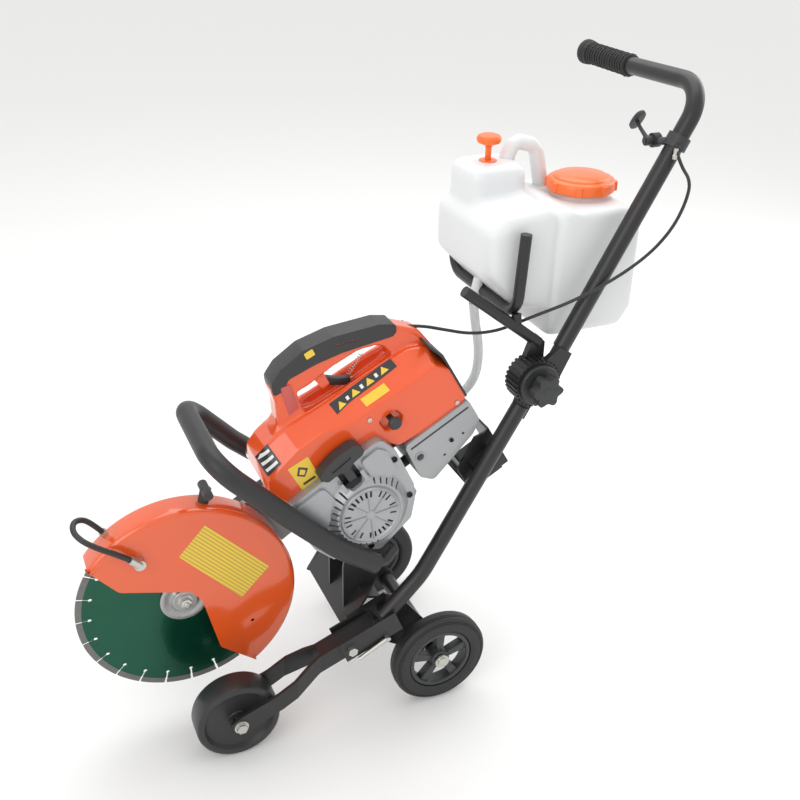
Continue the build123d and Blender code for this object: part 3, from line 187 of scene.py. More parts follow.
# ---- Blade clamp flanges and bolt ------------------------------------------------
# Two turned steel flanges grip the blade on its arbor. The outer one is dished, and a
# zinc-plated hexagon bolt with a washer pulls it up.
def add_turned(mesh, profile, centre, steps=64, across="Y"):
    """Adds a turned form: (radius, along) points run from the axis or round a closed ring."""
    on_axis = profile[0][0] < 1e-6
    rings = []
    for radius, along in profile:
        if radius < 1e-6:
            spots = [(0.0, 0.0)]
        else:
            turns = [2 * math.pi * step / steps for step in range(steps)]
            spots = [(radius * math.cos(turn), radius * math.sin(turn)) for turn in turns]
        ring = []
        for first, second in spots:
            if across == "Y":
                spot = Vector((first, along, second))
            elif across == "Z":
                spot = Vector((first, second, along))
            else:
                spot = Vector((along, first, second))
            ring.append(mesh.verts.new(centre + spot / 1000))
        rings.append(ring)
    pairs = list(zip(rings, rings[1:])) + ([] if on_axis else [(rings[-1], rings[0])])
    for one, other in pairs:
        for step in range(steps):
            after = (step + 1) % steps
            corners = [one[step % len(one)], one[after % len(one)], other[after % len(other)],
                other[step % len(other)]]
            corners = list(dict.fromkeys(corners))
            if len(corners) > 2:
                mesh.faces.new(corners)


def as_object(name, mesh, material=None, sharp=None):
    """Links a form into the scene with its normals outward, shaded smooth up to an angle."""
    data = bpy.data.meshes.new(name)
    bmesh.ops.recalc_face_normals(mesh, faces=mesh.faces)
    mesh.to_mesh(data)
    mesh.free()
    piece = bpy.data.objects.new(name, data)
    bpy.context.scene.collection.objects.link(piece)
    if material:
        data.materials.append(material)
    if sharp:
        data.polygons.foreach_set("use_smooth", [True] * len(data.polygons))
        data.set_sharp_from_angle(angle=math.radians(sharp))
    return piece


def form(maker, *details):
    """A new form made by one of the add_ functions."""
    mesh = bmesh.new()
    maker(mesh, *details)
    return mesh


def settle(name, mesh, material, body, *nodes, sharp=35):
    """Turns a finished form into a piece that rides on its body and stands for CAD nodes."""
    bmesh.ops.remove_doubles(mesh, verts=mesh.verts, dist=1e-6)
    piece = as_object(name, mesh, material, sharp)
    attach(piece, body)
    if nodes:
        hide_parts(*nodes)
    return piece


def worked(piece, sharp=None):
    """Works a piece's modifiers into its mesh."""
    depsgraph = bpy.context.evaluated_depsgraph_get()
    data = bpy.data.meshes.new_from_object(piece.evaluated_get(depsgraph))
    piece.modifiers.clear()
    piece.data = data
    if sharp:
        data.polygons.foreach_set("use_smooth", [True] * len(data.polygons))
        data.set_sharp_from_angle(angle=math.radians(sharp))
    return piece


def softened(piece, width, segments=3):
    """Rounds a piece's hard edges by a small bevel."""
    bevel = piece.modifiers.new("edge", "BEVEL")
    bevel.width = width / 1000
    bevel.segments = segments
    bevel.limit_method = "ANGLE"
    bevel.angle_limit = math.radians(32)
    bevel.harden_normals = False
    return worked(piece, 40)


turned_steel = finish("turned_steel", (0.52, 0.52, 0.51), 0.28, metallic=0.95, grain=1400, bump=0.05,
    shade=0.7, mottle=30)
turned_lines(turned_steel, arbor, 700, 0.25)
zinc = finish("zinc_plate", (0.66, 0.65, 0.61), 0.3, metallic=0.95, grain=1800, bump=0.12, shade=0.75,
    mottle=60)
flange = bmesh.new()
add_turned(flange, [(12, -1.6), (40, -1.6), (41, -3.2), (40.4, -5.0), (37, -6.2), (33, -6.0),
    (29.5, -4.2), (25, -4.0), (22.5, -6.5), (21, -10.2), (19.6, -11.2), (12, -11.4)], arbor, 96)
add_turned(flange, [(10.1, 1.6), (40, 1.6), (41, 3.2), (37, 6.2), (22, 10.4), (10.1, 10.4)], arbor, 96)
settle("clamp_flanges", flange, turned_steel, "blade", "blade_flanges", sharp=28)


def add_hexagon(mesh, across, low, high, centre, dome=0.8):
    """Adds a hexagon head lying across Y, its outer face chamfered to a circle."""
    corner = across / math.sqrt(3)
    rings = []
    for radius, along in ((corner, high), (corner, low + dome), (across / 2 * 0.94, low)):
        rings.append([mesh.verts.new(centre + Vector((radius * math.cos(math.radians(60 * k + 12)),
            along, radius * math.sin(math.radians(60 * k + 12)))) / 1000) for k in range(6)])
    for one, other in zip(rings, rings[1:]):
        for k in range(6):
            mesh.faces.new([one[k], one[(k + 1) % 6], other[(k + 1) % 6], other[k]])
    mesh.faces.new(rings[0])
    mesh.faces.new(rings[-1])


arbor_bolt = bmesh.new()
add_hexagon(arbor_bolt, 17, -20.6, -12.6, arbor)
add_turned(arbor_bolt, [(0, -10.6), (13.2, -10.6), (13.8, -11.2), (13.2, -12.4), (8.6, -12.8),
    (0, -12.8)], arbor)
add_turned(arbor_bolt, [(0, -24), (3.8, -24), (4.6, -23.2), (4.6, -20), (0, -20)], arbor, 32)
settle("arbor_bolt", arbor_bolt, zinc, "blade", "blade_bolt")
coat_cad("arbor_shaft", turned_steel)
coat_cad("blade_pulley", turned_steel)

# ---- Blade guard -----------------------------------------------------------------
# Deep-drawn steel hood in gloss orange paint. Its left wall is cut away round the flange,
# with a rolled lip along the cut, and a hole for an accessory near its rear tip.
def soft_corners(points, radius, steps=5):
    """Rounds the corners of a flat outline; radius is one number or one for each corner."""
    radii = radius if isinstance(radius, (list, tuple)) else [radius] * len(points)
    rounded = []
    count = len(points)
    for index in range(count):
        corner = Vector(points[index])
        before = Vector(points[index - 1]) - corner
        after = Vector(points[(index + 1) % count]) - corner
        angle = before.angle(after)
        size = radii[index]
        if size <= 0 or angle > 3.1:
            rounded.append(tuple(corner))
            continue
        reach = min(size / math.tan(angle / 2), before.length * 0.48, after.length * 0.48)
        start = corner + before.normalized() * reach
        end = corner + after.normalized() * reach
        for step in range(steps + 1):
            part = step / steps
            rounded.append(tuple(start * (1 - part) ** 2 + corner * 2 * part * (1 - part) + end
                * part**2))
    return rounded


def add_plate(mesh, points, low, high, place):
    """Adds a flat outline thickened across Y, put in place by machine() or saw()."""
    near = [mesh.verts.new(place(x, low, z)) for x, z in points]
    far = [mesh.verts.new(place(x, high, z)) for x, z in points]
    count = len(points)
    for k in range(count):
        mesh.faces.new([near[k], near[(k + 1) % count], far[(k + 1) % count], far[k]])
    for a, b, c in tessellate_polygon([[Vector((x, z, 0)) for x, z in points]]):
        mesh.faces.new([near[a], near[b], near[c]])
        mesh.faces.new([far[c], far[b], far[a]])


orange_paint = finish("orange_gloss_paint", (0.80, 0.105, 0.018), 0.16, grain=260, bump=0.02,
    shade=0.86, mottle=5, scuff=0.04, coat=0.9)
guard_radius, guard_half, guard_wall = 185.5, 27.0, 2.0
hood = bmesh.new()


def rim_point(angle, radius):
    return (radius * math.cos(math.radians(angle)), radius * math.sin(math.radians(angle)))


# The hood's section, from the lip round the left wall, over the rim and down the right wall.
lip_line = soft_corners([(-72, 176), (-60, 105), (22, 20), (24, -8), (-8, -112), (19, -184)],
    [0, 14, 16, 14, 12, 0], 7)
lengths = [0.0]
for one, other in zip(lip_line, lip_line[1:]):
    lengths.append(lengths[-1] + math.dist(one, other))
stations = 112
sections = []
nose_angle, tail_angle = 112.5, -84.0
for step in range(stations + 1):
    share = step / stations
    goal = share * lengths[-1]
    k = max(i for i in range(len(lengths)) if lengths[i] <= goal + 1e-9)
    k = min(k, len(lip_line) - 2)
    part = (goal - lengths[k]) / (lengths[k + 1] - lengths[k])
    cut_x = lip_line[k][0] + part * (lip_line[k + 1][0] - lip_line[k][0])
    cut_z = lip_line[k][1] + part * (lip_line[k + 1][1] - lip_line[k][1])
    turn = nose_angle + share * (tail_angle - nose_angle)
    outer = rim_point(turn, 1.0)
    fold = 9.0
    section = [(cut_x, -guard_half + 5.5, cut_z), (cut_x, -guard_half + 1.2, cut_z),
        (cut_x, -guard_half - 0.1, cut_z)]
    for between in (0.04, 0.1, 0.3, 0.55, 0.8):
        edge = Vector((outer[0] * (guard_radius - fold), outer[1] * (guard_radius - fold)))
        spot = Vector((cut_x, cut_z)).lerp(edge, between)
        section.append((spot.x, -guard_half, spot.y))
    for bend in range(7):
        around = math.radians(15 * bend)
        reach = guard_radius - fold + fold * math.sin(around)
        section.append((outer[0] * reach, -guard_half + fold - fold * math.cos(around),
            outer[1] * reach))
    section.append((outer[0] * guard_radius, 0, outer[1] * guard_radius))
    for bend in range(7):
        around = math.radians(90 - 15 * bend)
        reach = guard_radius - fold + fold * math.sin(around)
        section.append((outer[0] * reach, guard_half - fold + fold * math.cos(around),
            outer[1] * reach))
    for inward in (0.75, 0.5, 0.26):
        reach = max(44, guard_radius * inward)
        section.append((outer[0] * reach, guard_half, outer[1] * reach))
    sections.append([hood.verts.new(saw(*spot)) for spot in section])
for one, other in zip(sections, sections[1:]):
    for k in range(len(one) - 1):
        hood.faces.new([one[k], one[k + 1], other[k + 1], other[k]])
bmesh.ops.recalc_face_normals(hood, faces=hood.faces)
middle = [face for face in hood.faces if (face.calc_center_median() - arbor).length > 0.18]
if sum((face.calc_center_median() - arbor).dot(face.normal) for face in middle) < 0:
    bmesh.ops.reverse_faces(hood, faces=hood.faces)
hood_piece = settle("guard_hood", hood, orange_paint, "guard", "blade_guard")
skin = hood_piece.modifiers.new("sheet", "SOLIDIFY")
skin.thickness = guard_wall / 1000
skin.offset = -1
skin.use_quality_normals = True
worked(hood_piece, 40)


def carved(piece, cutter, operation="DIFFERENCE", sharp=35):
    """Cuts, or joins on, a second closed form."""
    tool = as_object("cutter", cutter)
    cut = piece.modifiers.new("cut", "BOOLEAN")
    cut.operation = operation
    cut.solver = "EXACT"
    cut.object = tool
    worked(piece, sharp)
    bpy.data.objects.remove(tool)
    return piece


carved(hood_piece, form(add_turned, [(0, -40), (3, -40), (3, -15), (0, -15)], saw(62, 0, -106), 24),
    sharp=40)

# Right wall's bearing plate: a pressed ring that turns on the belt arm's hub.
settle("guard_bearing_plate", form(add_turned, [(31.3, 23.2), (56, 23.2), (60, 24.6), (60, 26.8),
    (31.3, 26.8)], arbor, 72), orange_paint, "guard")

# Label on the guard: a printed yellow sheet, ruled across, under a clear film.
def ruled_label(name, sheet_colour, ink_colour, place_axis, pitch, share):
    """A glossy printed label with plain ruled lines and no lettering."""
    material = finish(name, sheet_colour, 0.3, grain=700, bump=0.03, shade=0.9, mottle=20, coat=0.3)
    nodes, links = material.node_tree.nodes, material.node_tree.links
    coords = nodes.new("ShaderNodeTexCoord")
    turn = add_node(nodes, "ShaderNodeMapping", {"Rotation": (0, place_axis, 0)})
    split = nodes.new("ShaderNodeSeparateXYZ")
    wire(links, (coords, "Object", turn, "Vector"), (turn, "Vector", split, "Vector"))
    wave = add_node(nodes, "ShaderNodeMath", {1: pitch / 2}, operation="PINGPONG")
    wire(links, (split, "Z", wave, 0))
    line = add_node(nodes, "ShaderNodeMath", {1: pitch / 2 * share}, operation="LESS_THAN")
    wire(links, (wave, "Value", line, 0))
    ink = add_node(nodes, "ShaderNodeMix", {"B": (*ink_colour, 1)}, data_type="RGBA")
    wire(links, (line, "Value", ink, "Factor"), (nodes["scratched"], "Result", ink, "A"), (ink,
        "Result", nodes["Principled BSDF"], "Base Color"))
    return material


guard_label_ink = ruled_label("guard_label_print", (0.80, 0.56, 0.05), (0.45, 0.28, 0.02), -0.823,
    0.0058, 0.3)
settle("guard_label", form(add_plate, soft_corners([(46, 93), (110, 113), (143, -32), (75, -51)], 2.5,
    3), -27.5, -26.9, saw), guard_label_ink, "guard")
coat_cad("guard_fittings", zinc)
dark_moulding = finish("dark_moulding", (0.035, 0.036, 0.038), 0.42, grain=1500, bump=0.35, shade=0.75,
    mottle=25, scuff=0.05)
coat_cad("guard_handle", dark_moulding)

# ---- Belt arm, drive cover and bearings ------------------------------------------
# A cast magnesium arm carries the arbor and the clutch side of the engine. A pressed
# cover closes the belt, and rings of bearing steel sit in the arm.
cast_grey = finish("cast_magnesium", (0.42, 0.43, 0.44), 0.38, metallic=0.55, grain=1300, bump=0.35,
    shade=0.84, mottle=18)
arm_cast = finish("arm_casting", (0.35, 0.36, 0.37), 0.45, metallic=0.5, grain=900, bump=0.5, shade=0.8,
    mottle=25)
bearing_steel = finish("bearing_steel", (0.6, 0.6, 0.6), 0.18, metallic=1.0, grain=1500, bump=0.03,
    shade=0.8)
coat_cad("belt_arm", arm_cast)
coat_cad("bearings", bearing_steel)
belt_rubber = finish("belt_rubber", (0.02, 0.02, 0.022), 0.7, grain=1400, bump=0.5, shade=0.7)
coat_cad("drive_belt", belt_rubber)
coat_cad("clutch_pulley", bearing_steel)
span_x, span_z = 330.0, 9.0


def belt_outline(front, rear, steps=24):
    """Loop round the arbor and the crank axis, as points along and up the saw."""
    lean = math.atan2(span_z, span_x)
    spread = math.acos((front - rear) / math.hypot(span_x, span_z))
    points = []
    for step in range(steps + 1):
        turn = lean + spread + (2 * math.pi - 2 * spread) * step / steps
        points.append((front * math.cos(turn), front * math.sin(turn)))
    for step in range(steps + 1):
        turn = lean - spread + 2 * spread * step / steps
        points.append((span_x + rear * math.cos(turn), span_z + rear * math.sin(turn)))
    return points


drive_piece = settle("drive_cover_shell", form(add_plate, belt_outline(58, 48), 42.1, 63.8, saw),
    dark_moulding, "machine", "drive_cover")
softened(drive_piece, 5, 4)
softened(settle("drive_cover_pad", form(add_plate, belt_outline(44, 34), 63.2, 64.6, saw),
    dark_moulding, "machine"), 0.8, 2)

# ---- Engine block ----------------------------------------------------------------
# Die-cast crankcase with a finned cylinder. The muffler, carburettor and plug sit under
# the orange cover, and the turning parts inside are plain steel.
for node in ("crankcase", "cylinder", "carburettor", "flywheel"):
    coat_cad(node, cast_grey)
coat_cad("crankshaft", bearing_steel)
coat_cad("muffler", finish("heat_stained_steel", (0.19, 0.15, 0.12), 0.5, metallic=0.8, grain=800,
    bump=0.3, shade=0.6, mottle=30))
coat_cad("spark_plug", finish("glazed_porcelain", (0.8, 0.79, 0.75), 0.2, grain=900, bump=0.05))
coat_cad("vibration_mounts", belt_rubber)

# ---- Starter cover ---------------------------------------------------------------
# Die-cast cover over the flywheel fan: a flat flange with four screws, a raised dome with
# a ring of air slots and eight ribs on its face, and a notch for the pull handle.
crank_axis = Vector((330.0, 9.0))


def moulded(piece, grid, passes, sharp=60):
    """Blends a piece's joined forms into one skin with soft edges, as a mould or die does."""
    skin = piece.modifiers.new("skin", "REMESH")
    skin.mode = "VOXEL"
    skin.voxel_size = grid / 1000
    relax = piece.modifiers.new("relax", "SMOOTH")
    relax.factor = 0.5
    relax.iterations = passes
    return worked(piece, sharp)


flange_line = soft_corners([(238, 105), (300, 108), (322, 100), (346, 98), (362, 108), (398, 108),
    (412, 104), (421, 72), (415, -4), (403, -30), (380, -58), (309, -74), (277, -36), (238, 22)], [8, 6,
    10, 10, 6, 6, 10, 14, 14, 10, 10, 12, 8, 8], 5)
fan_cover_piece = settle("starter_housing", form(add_plate, flange_line, -112, -70, saw), cast_grey,
    "machine", "starter_cover")
softened(fan_cover_piece, 3.0, 4)
# The raised dome and its shoulder towards the front top corner.
dome = bmesh.new()
dome_centre = saw(330, 0, 9)
add_turned(dome, [(0, -100), (70, -100), (70, -112.2), (67.5, -114), (60, -120.5), (57, -124.5),
    (55.5, -125.6), (53.6, -125.6), (52.4, -124.6), (50.6, -124.4), (50, -126.5), (48.8, -128.2),
    (47.4, -128.4), (46, -127.2), (45, -126.2), (12, -126.8), (0, -126.8)], dome_centre, 96)
dome_piece = settle("starter_dome", dome, cast_grey, "machine", sharp=50)
shoulder = bmesh.new()
add_plate(shoulder, soft_corners([(244, 97), (296, 100), (300, 64), (262, 30), (244, 44)], 8, 4),
    -116.5, -100, saw)
add_plate(shoulder, soft_corners([(366, 98), (400, 98), (409, 84), (404, 40), (388, 40), (366, 60)], 8,
    4), -116.5, -100, saw)
softened(settle("starter_shoulders", shoulder, cast_grey, "machine"), 3.6, 4)
slots = bmesh.new()
for ring, count, inner, outer, width, first, last in ((0, 30, 33.5, 44.2, 3.4, 0, 360),
        (1, 34, 53.5, 68, 3.2, 100, 262), (2, 34, 56.5, 67.5, 3.0, 8, 62)):
    for step in range(count):
        turn = step * 360 / count
        if ring and not first <= turn <= last:
            continue
        if ring == 0 and abs((turn + 22.5) % 45 - 22.5) < 3.4:
            continue
        along = Vector((math.cos(math.radians(turn)), math.sin(math.radians(turn))))
        side = Vector((-along.y, along.x)) * width / 2
        ends = [crank_axis + along * inner - side, crank_axis + along * outer - side,
            crank_axis + along * outer + side, crank_axis + along * inner + side]
        depth = -121.0 if ring == 0 else -109.0
        add_plate(slots, [tuple(spot) for spot in ends], -140, depth, saw)
carved(dome_piece, slots, sharp=50)
# A near-black disc under the dome, seen through the air slots: painted shade standing in for the dark
# space over the fan behind them.
dome_floor = bmesh.new()
add_turned(dome_floor, [(0, -101), (66, -101), (66, -110.5), (46, -122.5), (0, -122.5)], dome_centre,
    64)
shadow_black = finish("fan_shadow", (0.012, 0.012, 0.013), 0.6, grain=900, bump=0.2, shade=0.7)
settle("starter_slot_shade", dome_floor, shadow_black, "machine")
spokes = bmesh.new()
for step in range(8):
    turn = math.radians(step * 45 + 22.5)
    along = Vector((math.cos(turn), math.sin(turn)))
    side = Vector((-along.y, along.x)) * 1.1
    ends = [crank_axis + along * 6 - side, crank_axis + along * 46.5 - side,
        crank_axis + along * 46.5 + side, crank_axis + along * 6 + side]
    add_plate(spokes, [tuple(spot) for spot in ends], -128.6, -125, saw)
add_turned(spokes, [(0, -125), (8.5, -125), (8.5, -127.4), (6, -128.6), (0, -128.6)], dome_centre, 40)
softened(settle("starter_ribs", spokes, cast_grey, "machine"), 0.5, 2)
notch = bmesh.new()
add_plate(notch, soft_corners([(324, 130), (324, 74), (330, 66), (350, 66), (356, 74), (356, 130)], 5,
    3), -140, -90, saw)
for hurt in ("starter_housing", "starter_dome", "starter_shoulders"):
    gap = notch.copy()
    carved(bpy.data.objects[hurt], gap, sharp=42)
notch.free()
softened(settle("starter_rope_guide", form(add_plate, soft_corners([(318, 88), (318, 66), (328, 58),
    (352, 58), (362, 66), (362, 88), (356, 88), (356, 70), (350, 64.5), (330, 64.5), (324, 70),
    (324, 88)], 2, 2), -121, -104, saw), cast_grey, "machine"), 1.6, 3)
coat_cad("starter_pulley", dark_moulding)
coat_cad("starter_rope", finish("braided_rope", (0.66, 0.65, 0.6), 0.8, grain=2500, bump=0.9,
    shade=0.7))

# ---- Starter handle --------------------------------------------------------------
# Moulded T-grip on the starter rope, with a tapered bar and a flat stem.
grip_bar = bmesh.new()
add_plate(grip_bar, soft_corners([(300, 118), (308, 107.5), (330, 108.5), (336, 104), (348, 104),
    (354, 109), (374, 111), (381, 116), (378, 130), (368, 136), (338, 136), (312, 130), (301, 124)], 4,
    4), -123, -99, saw)
add_plate(grip_bar, [(333, 75), (349, 75), (349, 108), (333, 108)], -114, -98, saw)
grip_piece = settle("pull_grip", grip_bar, dark_moulding, "starter_grip", "starter_handle")
moulded(grip_piece, 1.2, 5, 80)
carved(grip_piece, form(add_plate, soft_corners([(322, 117), (358, 120), (357, 126), (321, 123)], 2, 2),
    -130, -121.4, saw), sharp=60)

# ---- Cover screws ----------------------------------------------------------------
# Socket-head and pan-head screws, zinc or blackened, in counterbores of the castings.
def screw_tree():
    """Cap screws stood on points across the saw, each with a hexagon socket."""
    tree = bpy.data.node_groups.new("cap_screws", "GeometryNodeTree")
    tree.interface.new_socket("Geometry", in_out="INPUT", socket_type="NodeSocketGeometry")
    for name, value in (("Head Radius", 0.005), ("Head Height", 0.004), ("Socket Radius", 0.0026)):
        socket = tree.interface.new_socket(name, in_out="INPUT", socket_type="NodeSocketFloat")
        socket.default_value = value
    tree.interface.new_socket("Metal", in_out="INPUT", socket_type="NodeSocketMaterial")
    tree.interface.new_socket("Geometry", in_out="OUTPUT", socket_type="NodeSocketGeometry")
    feed, result = tree.nodes.new("NodeGroupInput"), tree.nodes.new("NodeGroupOutput")
    head = add_node(tree.nodes, "GeometryNodeMeshCylinder", {"Vertices": 28})
    socket_form = add_node(tree.nodes, "GeometryNodeMeshCylinder", {"Vertices": 6})
    lift = tree.nodes.new("GeometryNodeTransform")
    half = add_node(tree.nodes, "ShaderNodeMath", {1: 0.7}, operation="MULTIPLY")
    up = tree.nodes.new("ShaderNodeCombineXYZ")
    drill = add_node(tree.nodes, "GeometryNodeMeshBoolean", operation="DIFFERENCE")
    stand = add_node(tree.nodes, "GeometryNodeInstanceOnPoints", {"Rotation": (math.radians(90), 0, 0)})
    real = tree.nodes.new("GeometryNodeRealizeInstances")
    paint = tree.nodes.new("GeometryNodeSetMaterial")
    links = tree.links
    wire(links, (feed, "Head Radius", head, "Radius"), (feed, "Head Height", head, "Depth"),
        (feed, "Socket Radius", socket_form, "Radius"), (feed, "Head Height", socket_form, "Depth"),
        (feed, "Head Height", half, 0), (half, "Value", up, "Z"),
        (socket_form, "Mesh", lift, "Geometry"), (up, "Vector", lift, "Translation"),
        (head, "Mesh", drill, "Mesh 1"), (lift, "Geometry", drill, "Mesh 2"),
        (feed, "Geometry", stand, "Points"), (drill, "Mesh", stand, "Instance"),
        (stand, "Instances", real, "Geometry"), (real, "Geometry", paint, "Geometry"),
        (feed, "Metal", paint, "Material"), (paint, "Geometry", result, "Geometry"))
    return tree


cap_screws = screw_tree()


def screws_at(name, spots, head_radius, head_height, metal, body, *nodes):
    """A row of like screws, their heads facing the machine's left."""
    cloud = bpy.data.meshes.new(name)
    cloud.from_pydata([tuple(spot) for spot in spots], [], [])
    piece = bpy.data.objects.new(name, cloud)
    bpy.context.scene.collection.objects.link(piece)
    made = piece.modifiers.new("screws", "NODES")
    made.node_group = cap_screws
    sockets = {item.name: item.identifier for item in cap_screws.interface.items_tree
        if item.in_out == "INPUT"}
    made[sockets["Head Radius"]] = head_radius / 1000
    made[sockets["Head Height"]] = head_height / 1000
    made[sockets["Socket Radius"]] = head_radius / 1900
    made[sockets["Metal"]] = metal
    worked(piece, 35)
    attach(piece, body)
    if nodes:
        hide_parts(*nodes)
    return piece


black_steel = finish("blackened_steel", (0.03, 0.03, 0.032), 0.35, metallic=0.8, grain=1200, bump=0.15,
    shade=0.7)
screws_at("starter_screws", [saw(254, -112.2, 62), saw(411, -112.2, 60), saw(399, -112.2, -17),
    saw(301, -112.2, -55)], 5.0, 4.0, black_steel, "machine", "cover_screws")

# ---- Rear housing ----------------------------------------------------------------
# Cast fuel tank housing behind the engine, with a black trim strip along its edge, a
# recess for the filter screw and two open screw holes. The filler cap is on its far side.
rear_line = soft_corners([(436, 57), (562, 57), (562, 10), (540, -5), (446, -34), (430, -12)],
    [10, 8, 14, 12, 12, 10], 5)
rear_piece = settle("fuel_tank_shell", form(add_plate, rear_line, -99.5, 33.5, saw), cast_grey,
    "machine", "fuel_tank")
softened(rear_piece, 4, 4)
ports = bmesh.new()
for hole_u, hole_w, hole_radius, hole_depth in ((448, 22, 6.5, 10), (483, -4.6, 2.4, 12),
        (527, 8.6, 2.4, 12)):
    add_turned(ports, [(0, -104), (hole_radius, -104), (hole_radius, -99.5 + hole_depth),
        (0, -99.5 + hole_depth)], saw(hole_u, 0, hole_w), 28)
carved(rear_piece, ports)
settle("fuel_tank_seam", form(add_plate, soft_corners([(442, 44), (556, 44), (556, 47), (442, 47)], 1,
    2), -99.9, -98, saw), dark_moulding, "machine")
settle("filter_port_rim", form(add_turned, [(6.3, -99), (9, -99), (9, -100.6), (8.2, -101.2),
    (6.3, -100.6)], saw(448, 0, 22), 40), cast_grey, "machine")
screws_at("housing_screws", [saw(505, -100.4, 12)], 3.6, 2.4, black_steel, "machine")
softened(settle("rear_trim", form(add_plate, [(562.2, 56), (566.5, 56), (566.5, 148), (556, 176),
    (552.5, 174), (562.2, 147)], -88, 22, saw), dark_moulding, "machine"), 1.2, 3)
coat_cad("fuel_cap", dark_moulding)

# ---- Top cover -------------------------------------------------------------------
# Glossy orange moulded cover over the engine. It has a ridge along its middle, sloping
# shoulders, a tower at the front and a hand opening under the dark grip.
def add_loft(mesh, loops):
    """Joins closed loops of like points and closes both ends."""
    rings = [[mesh.verts.new(spot) for spot in loop] for loop in loops]
    for one, other in zip(rings, rings[1:]):
        for k in range(len(one)):
            after = (k + 1) % len(one)
            mesh.faces.new([one[k], one[after], other[after], other[k]])
    mesh.faces.new(rings[0])
    mesh.faces.new(rings[-1])


cover_orange = finish("cover_orange", (0.84, 0.095, 0.014), 0.2, grain=320, bump=0.03, shade=0.88,
    mottle=6, scuff=0.03, coat=0.8)
ridge_line = [(226, 150), (240, 178), (262, 188), (300, 194), (360, 190), (420, 187), (480, 184),
    (530, 178), (556, 162), (564, 132)]
trough_drop = [0, 0, 0, 2, 18, 20, 18, 8, 0, 0]
crease_line = [(224, 138), (234, 153), (258, 160), (300, 170), (345, 170), (385, 153), (440, 150),
    (500, 147), (545, 146), (562, 122)]
edge_line = [(236, 102), (250, 100), (268, 100), (306, 100), (362, 106), (398, 106), (430, 62),
    (500, 50), (545, 48), (562, 60)]
cover_form = bmesh.new()
cover_loops = []
for (u_ridge, w_ridge), (u_crease, w_crease), (u_edge, w_edge), drop in zip(ridge_line, crease_line,
        edge_line, trough_drop):
    near, far = -95.3, 29.3
    loop = [saw(u_edge, near, w_edge), saw(u_crease, near, w_crease), saw(u_ridge, -61, w_ridge),
        saw(u_ridge, -53, w_ridge), saw(u_ridge, -48, w_ridge - drop),
        saw(u_ridge, -18, w_ridge - drop), saw(u_ridge, -13, w_ridge), saw(u_ridge, -5, w_ridge),
        saw(u_crease, far, w_crease), saw(u_edge, far, w_edge)]
    cover_loops.append(loop)
add_loft(cover_form, cover_loops)
cover_piece = settle("engine_cover", cover_form, cover_orange, "machine", "top_cover")
tower_form = bmesh.new()
add_loft(tower_form, [[saw(u, y, w) for u, w, y in ((228, 150, -62), (228, 150, -4), (345, 168, -4),
    (345, 168, -62))], [saw(u, y, w) for u, w, y in ((262, 178, -57), (262, 178, -9), (340, 186, -9),
    (340, 186, -57))], [saw(u, y, w) for u, w, y in ((300, 204, -52), (300, 204, -14), (345, 206, -14),
    (345, 206, -52))], [saw(u, y, w) for u, w, y in ((314, 232, -51), (314, 232, -15), (352, 232, -15),
    (352, 232, -51))], [saw(u, y, w) for u, w, y in ((320, 256, -50), (320, 256, -16), (356, 262, -16),
    (356, 262, -50))]])
carved(cover_piece, tower_form, "UNION", sharp=60)
handle_form = bmesh.new()
arch_line = soft_corners([(322, 240), (330, 264), (352, 272), (398, 274), (448, 264), (505, 238),
    (530, 222), (560, 188), (566, 150), (566, 128), (498, 150), (503, 182), (500, 200), (490, 211),
    (464, 222), (418, 226), (372, 224), (352, 226)], [6, 12, 12, 12, 12, 12, 14, 14, 8, 4, 4, 8, 10, 12,
    10, 10, 6, 6], 4)
add_plate(handle_form, arch_line, -50.5, -15.5, saw)
carved(cover_piece, handle_form, "UNION", sharp=60)
carved(cover_piece, form(add_plate, soft_corners([(425, 124), (458, 122), (462, 104), (450, 96),
    (426, 100)], 5, 4), -110, -84, saw), sharp=60)
moulded(cover_piece, 2.4, 9, 80)
pocket_wall = finish("pocket_pink", (0.62, 0.12, 0.10), 0.5, grain=900, bump=0.3, shade=0.75, mottle=20)
softened(settle("tower_recess", form(add_plate, soft_corners([(318, 196), (336, 190), (350, 246),
    (334, 252)], 4, 4), -52.6, -50.2, saw), pocket_wall, "machine"), 0.8, 2)
cheeks = bmesh.new()
for cheek_y in (-44, -24):
    add_plate(cheeks, soft_corners([(383, 226), (401, 226), (399, 200), (385, 200)], 3, 3), cheek_y,
        cheek_y + 3.5, saw)
softened(settle("trigger_bracket", cheeks, cover_orange, "machine"), 0.8, 2)

# ---- Rear grip -------------------------------------------------------------------
# Dark soft-faced grip along the top of the handle, with a row of small slots and a
# narrow label panel near its front.
grip_rest = settle("rear_grip_shell", form(add_plate, soft_corners([(318, 246), (326, 266), (350, 277),
    (394, 281), (443, 270), (512, 240), (534, 222), (528, 211), (520, 208), (440, 238), (397, 249),
    (352, 255), (334, 244)], [5, 12, 12, 16, 20, 14, 7, 4, 6, 16, 16, 10, 6], 5), -52.4, -13.6, saw),
    dark_moulding, "machine", "rear_grip")
softened(grip_rest, 7, 5)
slits = bmesh.new()
for step in range(5):
    slit_u, slit_w = 442 + step * 7.5, 255 - step * 3.4
    add_plate(slits, [(slit_u, slit_w), (slit_u + 4.4, slit_w - 2), (slit_u + 3.6, slit_w - 4.2),
        (slit_u - 0.8, slit_w - 2.2)], -60, -49, saw)
carved(grip_rest, slits, sharp=40)
label_yellow = finish("label_yellow", (0.86, 0.58, 0.04), 0.3, grain=700, bump=0.03, shade=0.92,
    mottle=20, coat=0.3)
label_dark = finish("label_dark", (0.03, 0.03, 0.03), 0.3, grain=700, bump=0.03, shade=0.8, mottle=20,
    coat=0.3)
label_white = finish("label_white", (0.82, 0.82, 0.8), 0.3, grain=700, bump=0.03, shade=0.93, mottle=20,
    coat=0.3)

